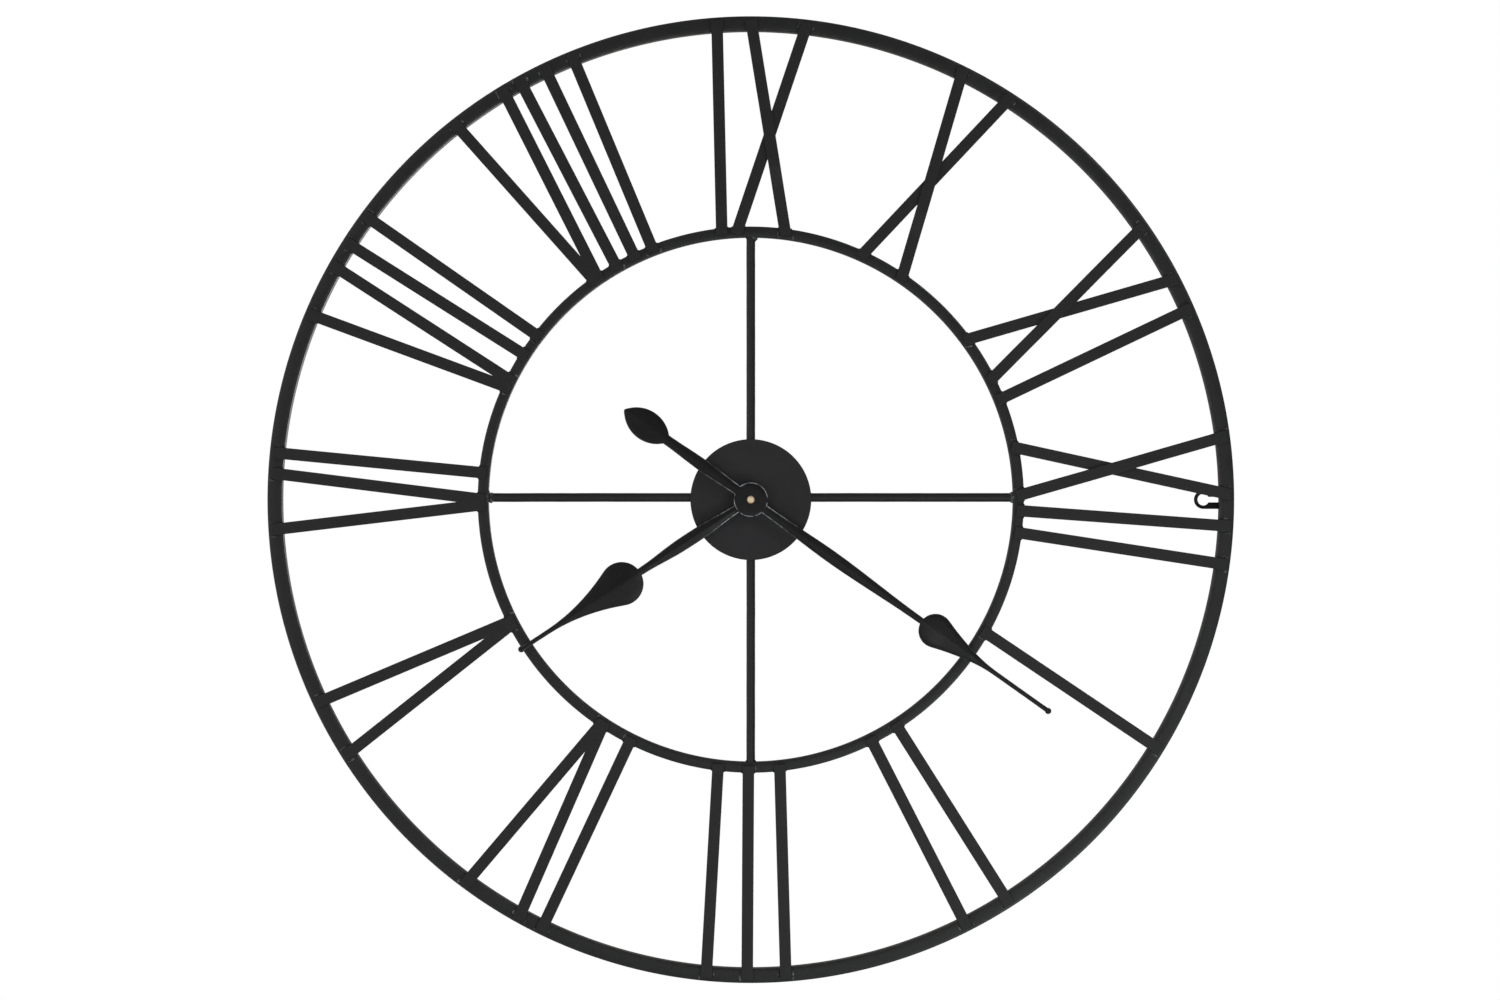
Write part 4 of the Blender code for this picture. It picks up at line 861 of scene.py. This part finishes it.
def add_arc_plate(mesh, centre, radius, width, start, end, y_front, y_back):
    """A raised curved band, in short pieces that share their ends."""
    steps = max(3, round(abs(end - start) * radius / (0.8 * MM)))
    inner, outer = radius - width / 2, radius + width / 2
    points = []
    for r, order in ((outer, range(steps + 1)), (inner, range(steps, -1, -1))):
        for i in order:
            t = start + (end - start) * i / steps
            points.append((centre.x + r * math.sin(t), centre.z + r * math.cos(t)))
    rows = [[mesh.verts.new((x, y, z)) for x, z in points] for y in (y_front, y_back)]
    count = len(points)
    layer = wear_and_painted_light_layer(mesh)
    for j in range(count):
        k = (j + 1) % count
        mesh.faces.new((rows[0][j], rows[0][k], rows[1][k], rows[1][j]))[layer] = 0.3
    for row in rows:
        for i in range(steps):
            across = (row[i], row[i + 1], row[2 * steps - i], row[2 * steps + 1 - i])
            mesh.faces.new(across)[layer] = 0.3


def case_details():
    """What the mould leaves on the back: signs, a turning arrow, a rim, ribs and pin marks."""
    low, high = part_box("rear_case")
    cell_low, cell_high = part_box("battery")
    knob_low, knob_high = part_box("setting_knob")
    y = high.y
    mesh = new_bmesh()
    sunk, proud = y - 0.3 * MM, y + 0.35 * MM
    top = cell_high.z + 1.0 * MM
    # the rim round the top and sides of the battery bay
    for x0, x1, z0, z1 in (
        (cell_low.x, cell_high.x, top + 0.5 * MM, top + 1.3 * MM),
        (low.x + 0.4 * MM, low.x + 1.1 * MM, low.z + 3 * MM, top + 1.3 * MM),
        (high.x - 1.1 * MM, high.x - 0.4 * MM, low.z + 3 * MM, top + 1.3 * MM),
    ):
        add_plate(mesh, box_outline(x0, x1, z0, z1), sunk, proud)
    # plus over the nub's end, minus over the other
    arm, half = 1.6 * MM, 0.32 * MM
    z = top + 4.2 * MM
    x = cell_high.x - 3 * MM
    add_plate(mesh, box_outline(x - arm, x + arm, z - half, z + half), sunk, proud)
    add_plate(mesh, box_outline(x - half, x + half, z + half, z + arm), sunk, proud)
    add_plate(mesh, box_outline(x - half, x + half, z - arm, z - half), sunk, proud)
    x = cell_low.x + 3 * MM
    add_plate(mesh, box_outline(x - arm, x + arm, z - half, z + half), sunk, proud)
    # the arrow round the knob
    knob = (knob_low + knob_high) / 2
    radius = (knob_high.x - knob_low.x) / 2 + 2.2 * MM
    start, end = math.radians(-150), math.radians(60)
    add_arc_plate(mesh, knob, radius, 0.5 * MM, start, end, sunk, proud)
    for t, turn in ((start, -1), (end, 1)):
        tip = t + turn * 1.7 * MM / radius
        points = [
            (knob.x + (radius + side) * math.sin(a), knob.z + (radius + side) * math.cos(a))
            for side, a in ((-0.95 * MM, t), (0.95 * MM, t), (0, tip))
        ]
        add_plate(mesh, points, sunk, proud)
    # ribs over the wheels, and the marks of the mould's pins
    right = high.x - 6.5 * MM
    for i in range(4):
        z = high.z - (5.2 + 2.2 * i) * MM
        add_plate(mesh, box_outline(right - 15 * MM, right, z, z + 0.8 * MM), sunk, y + 0.25 * MM)
    turn = math.radians(359)
    for z in (high.z - 4 * MM, low.z + 27 * MM):
        for x in (low.x + 4 * MM, high.x - 4 * MM):
            spot = Vector((x, 0, z))
            add_arc_plate(mesh, spot, 1.1 * MM, 0.25 * MM, 0, turn, sunk, y + 0.12 * MM)
    piece("case_marks", mesh, looks["plastic"], "frame", (), sharp=30)

    # the snap lugs across the seam of the two shells
    lugs = new_bmesh()
    for z in (CENTRE.z + 14 * MM, CENTRE.z - 14 * MM):
        for x, out in ((low.x, -1), (high.x, 1)):
            made = bmesh.ops.create_cube(lugs, size=1)
            middle = Vector((x + out * 0.1 * MM, low.y + 1.2 * MM, z))
            for v in made["verts"]:
                v.co = middle + Vector((v.co.x, v.co.y * 4.6, v.co.z * 5)) * MM
    bevel_edges(lugs, 0.25 * MM, wear_and_painted_light=0.6)
    piece("case_lugs", lugs, looks["plastic"], "frame", (), sharp=50, weighted=True)


case_details()

INSIDE = {
    "circuit_board": "board", "coil": "copper", "stator": "steel", "rotor": "steel",
    "intermediate_wheel": "wheel", "second_wheel": "wheel", "third_wheel": "wheel",
    "minute_wheel": "brass", "motion_wheel": "wheel", "hour_wheel": "brass",
    "contact_plus": "steel", "contact_minus": "steel",
}
for name, look in INSIDE.items():
    nodes[name].data.materials.clear()
    nodes[name].data.materials.append(looks[look])


def battery_piece():
    """A dry cell with a dished flat end, rolled edges and a nub."""
    low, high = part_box("battery")
    radius = (high.y - low.y) / 2
    centre = (low + high) / 2
    x0, x1, nub = low.x, high.x, 1.3 * MM
    shoulder = x1 - nub
    ends = (  # the flat end's dish, the jacket's rolled edges, and the nub
        (0, x0 + 0.25 * MM), (4.2 * MM, x0 + 0.25 * MM), (4.5 * MM, x0), (radius - 0.9 * MM, x0),
        (radius - 0.25 * MM, x0 + 0.25 * MM), (radius, x0 + 0.9 * MM),
        (radius, shoulder - 0.9 * MM), (radius - 0.25 * MM, shoulder - 0.25 * MM),
        (radius - 0.9 * MM, shoulder), (3.6 * MM, shoulder), (3.4 * MM, shoulder - 0.15 * MM),
        (2.9 * MM, shoulder - 0.1 * MM), (2.7 * MM, shoulder + 0.2 * MM),
        (2.7 * MM, x1 - 0.25 * MM), (2.45 * MM, x1), (0, x1),
    )
    profile = [(r, along, 0) for r, along in ends]
    mesh = new_bmesh()
    lathe(mesh, profile, 64, centre, "X")
    piece("battery_cell", mesh, looks["battery"], "frame", ("battery",), sharp=40)


battery_piece()

# ---- the stage ----


CAMERA_DISTANCE = 2.8  # from the ring's front
PICTURE_WIDTH = 1500 * 0.827 * MM  # what the picture spans at the ring's front
FLOOR_RADIUS = 2.4
FLOOR_DROP = 0.47  # below the clock
LIGHTS = (  # name, place, size, energy, colour
    ("key", (1.7, -2.2, 1.1), 1.3, 22, (0.94, 0.99, 1.0)),
    ("front", (0.55, -3.2, 0.1), 0.8, 4, (1, 1, 1)),
    ("edge", (-1.3, -1.6, 1.0), 0.4, 7, (1, 1, 1)),
    ("fill", (-2.0, -2.2, -1.2), 1.6, 1.5, (1, 1, 1)),
    ("back", (0.6, 2.4, 0.8), 1.6, 20, (1, 1, 1)),
)


def stage_floor():
    floor = bmesh.new()
    bmesh.ops.create_circle(floor, cap_ends=True, segments=128, radius=FLOOR_RADIUS)
    data = bpy.data.meshes.new("floor")
    floor.to_mesh(data)
    floor.free()
    made = bpy.data.objects.new("floor", data)
    made.location = (0, -1.45, ring_low.z - FLOOR_DROP)
    data.materials.append(looks["floor"])
    bpy.context.scene.collection.objects.link(made)


def stage_world():
    """White to the camera; to everything else, a dim room that is warmer behind the clock."""
    world = bpy.data.worlds.new("studio")
    bpy.context.scene.world = world
    world.use_nodes = True
    tree = world.node_tree
    background = tree.nodes["Background"]
    rays = tree.nodes.new("ShaderNodeLightPath")
    seen = tree.nodes.new("ShaderNodeBackground")
    seen.inputs["Color"].default_value = (1, 1, 1, 1)
    seen.inputs["Strength"].default_value = 1.0
    place = tree.nodes.new("ShaderNodeTexCoord")
    split = tree.nodes.new("ShaderNodeSeparateXYZ")
    tree.links.new(place.outputs["Generated"], split.inputs[0])
    ramp = tree.nodes.new("ShaderNodeValToRGB")
    ramp.color_ramp.elements[0].position = 0.0
    ramp.color_ramp.elements[0].color = (0.165, 0.165, 0.17, 1)
    ramp.color_ramp.elements[1].position = 1.0
    ramp.color_ramp.elements[1].color = (0.3, 0.275, 0.245, 1)
    spread = tree.nodes.new("ShaderNodeMapRange")
    spread.inputs["From Min"].default_value = -1
    spread.inputs["From Max"].default_value = 1
    tree.links.new(split.outputs["Y"], spread.inputs["Value"])
    tree.links.new(spread.outputs[0], ramp.inputs["Fac"])
    tree.links.new(ramp.outputs["Color"], background.inputs["Color"])
    choose = tree.nodes.new("ShaderNodeMixShader")
    tree.links.new(rays.outputs["Is Camera Ray"], choose.inputs[0])
    tree.links.new(background.outputs[0], choose.inputs[1])
    tree.links.new(seen.outputs[0], choose.inputs[2])
    tree.links.new(choose.outputs[0], tree.nodes["World Output"].inputs["Surface"])


def stage_lights():
    for name, place, size, energy, colour in LIGHTS:
        light = bpy.data.lights.new(name, "AREA")
        light.shape = "DISK"
        light.size = size
        light.energy = energy
        light.color = colour
        lamp = bpy.data.objects.new(name, light)
        lamp.location = place
        aim = Vector((0, 0, CENTRE.z)) - Vector(place)
        lamp.rotation_euler = aim.to_track_quat("-Z", "Y").to_euler()
        bpy.context.scene.collection.objects.link(lamp)


def stage_camera():
    scene = bpy.context.scene
    scene.view_settings.view_transform = "Standard"
    scene.view_settings.look = "None"

    lens = bpy.data.cameras.new("camera")
    camera = bpy.data.objects.new("camera", lens)
    scene.collection.objects.link(camera)
    scene.camera = camera
    lens.sensor_width = 36
    lens.lens = lens.sensor_width * CAMERA_DISTANCE / PICTURE_WIDTH
    camera.location = (0.3 * MM, RING_FRONT - CAMERA_DISTANCE, CENTRE.z - 0.68 * MM)
    camera.rotation_mode = "QUATERNION"
    # the clock lies on its side in the picture: its top is on the right
    upright = BACKWARD.to_track_quat("-Z", "Y")
    camera.rotation_quaternion = upright @ Matrix.Rotation(math.radians(90), 4, "Z").to_quaternion()


stage_floor()
stage_world()
stage_lights()
stage_camera()
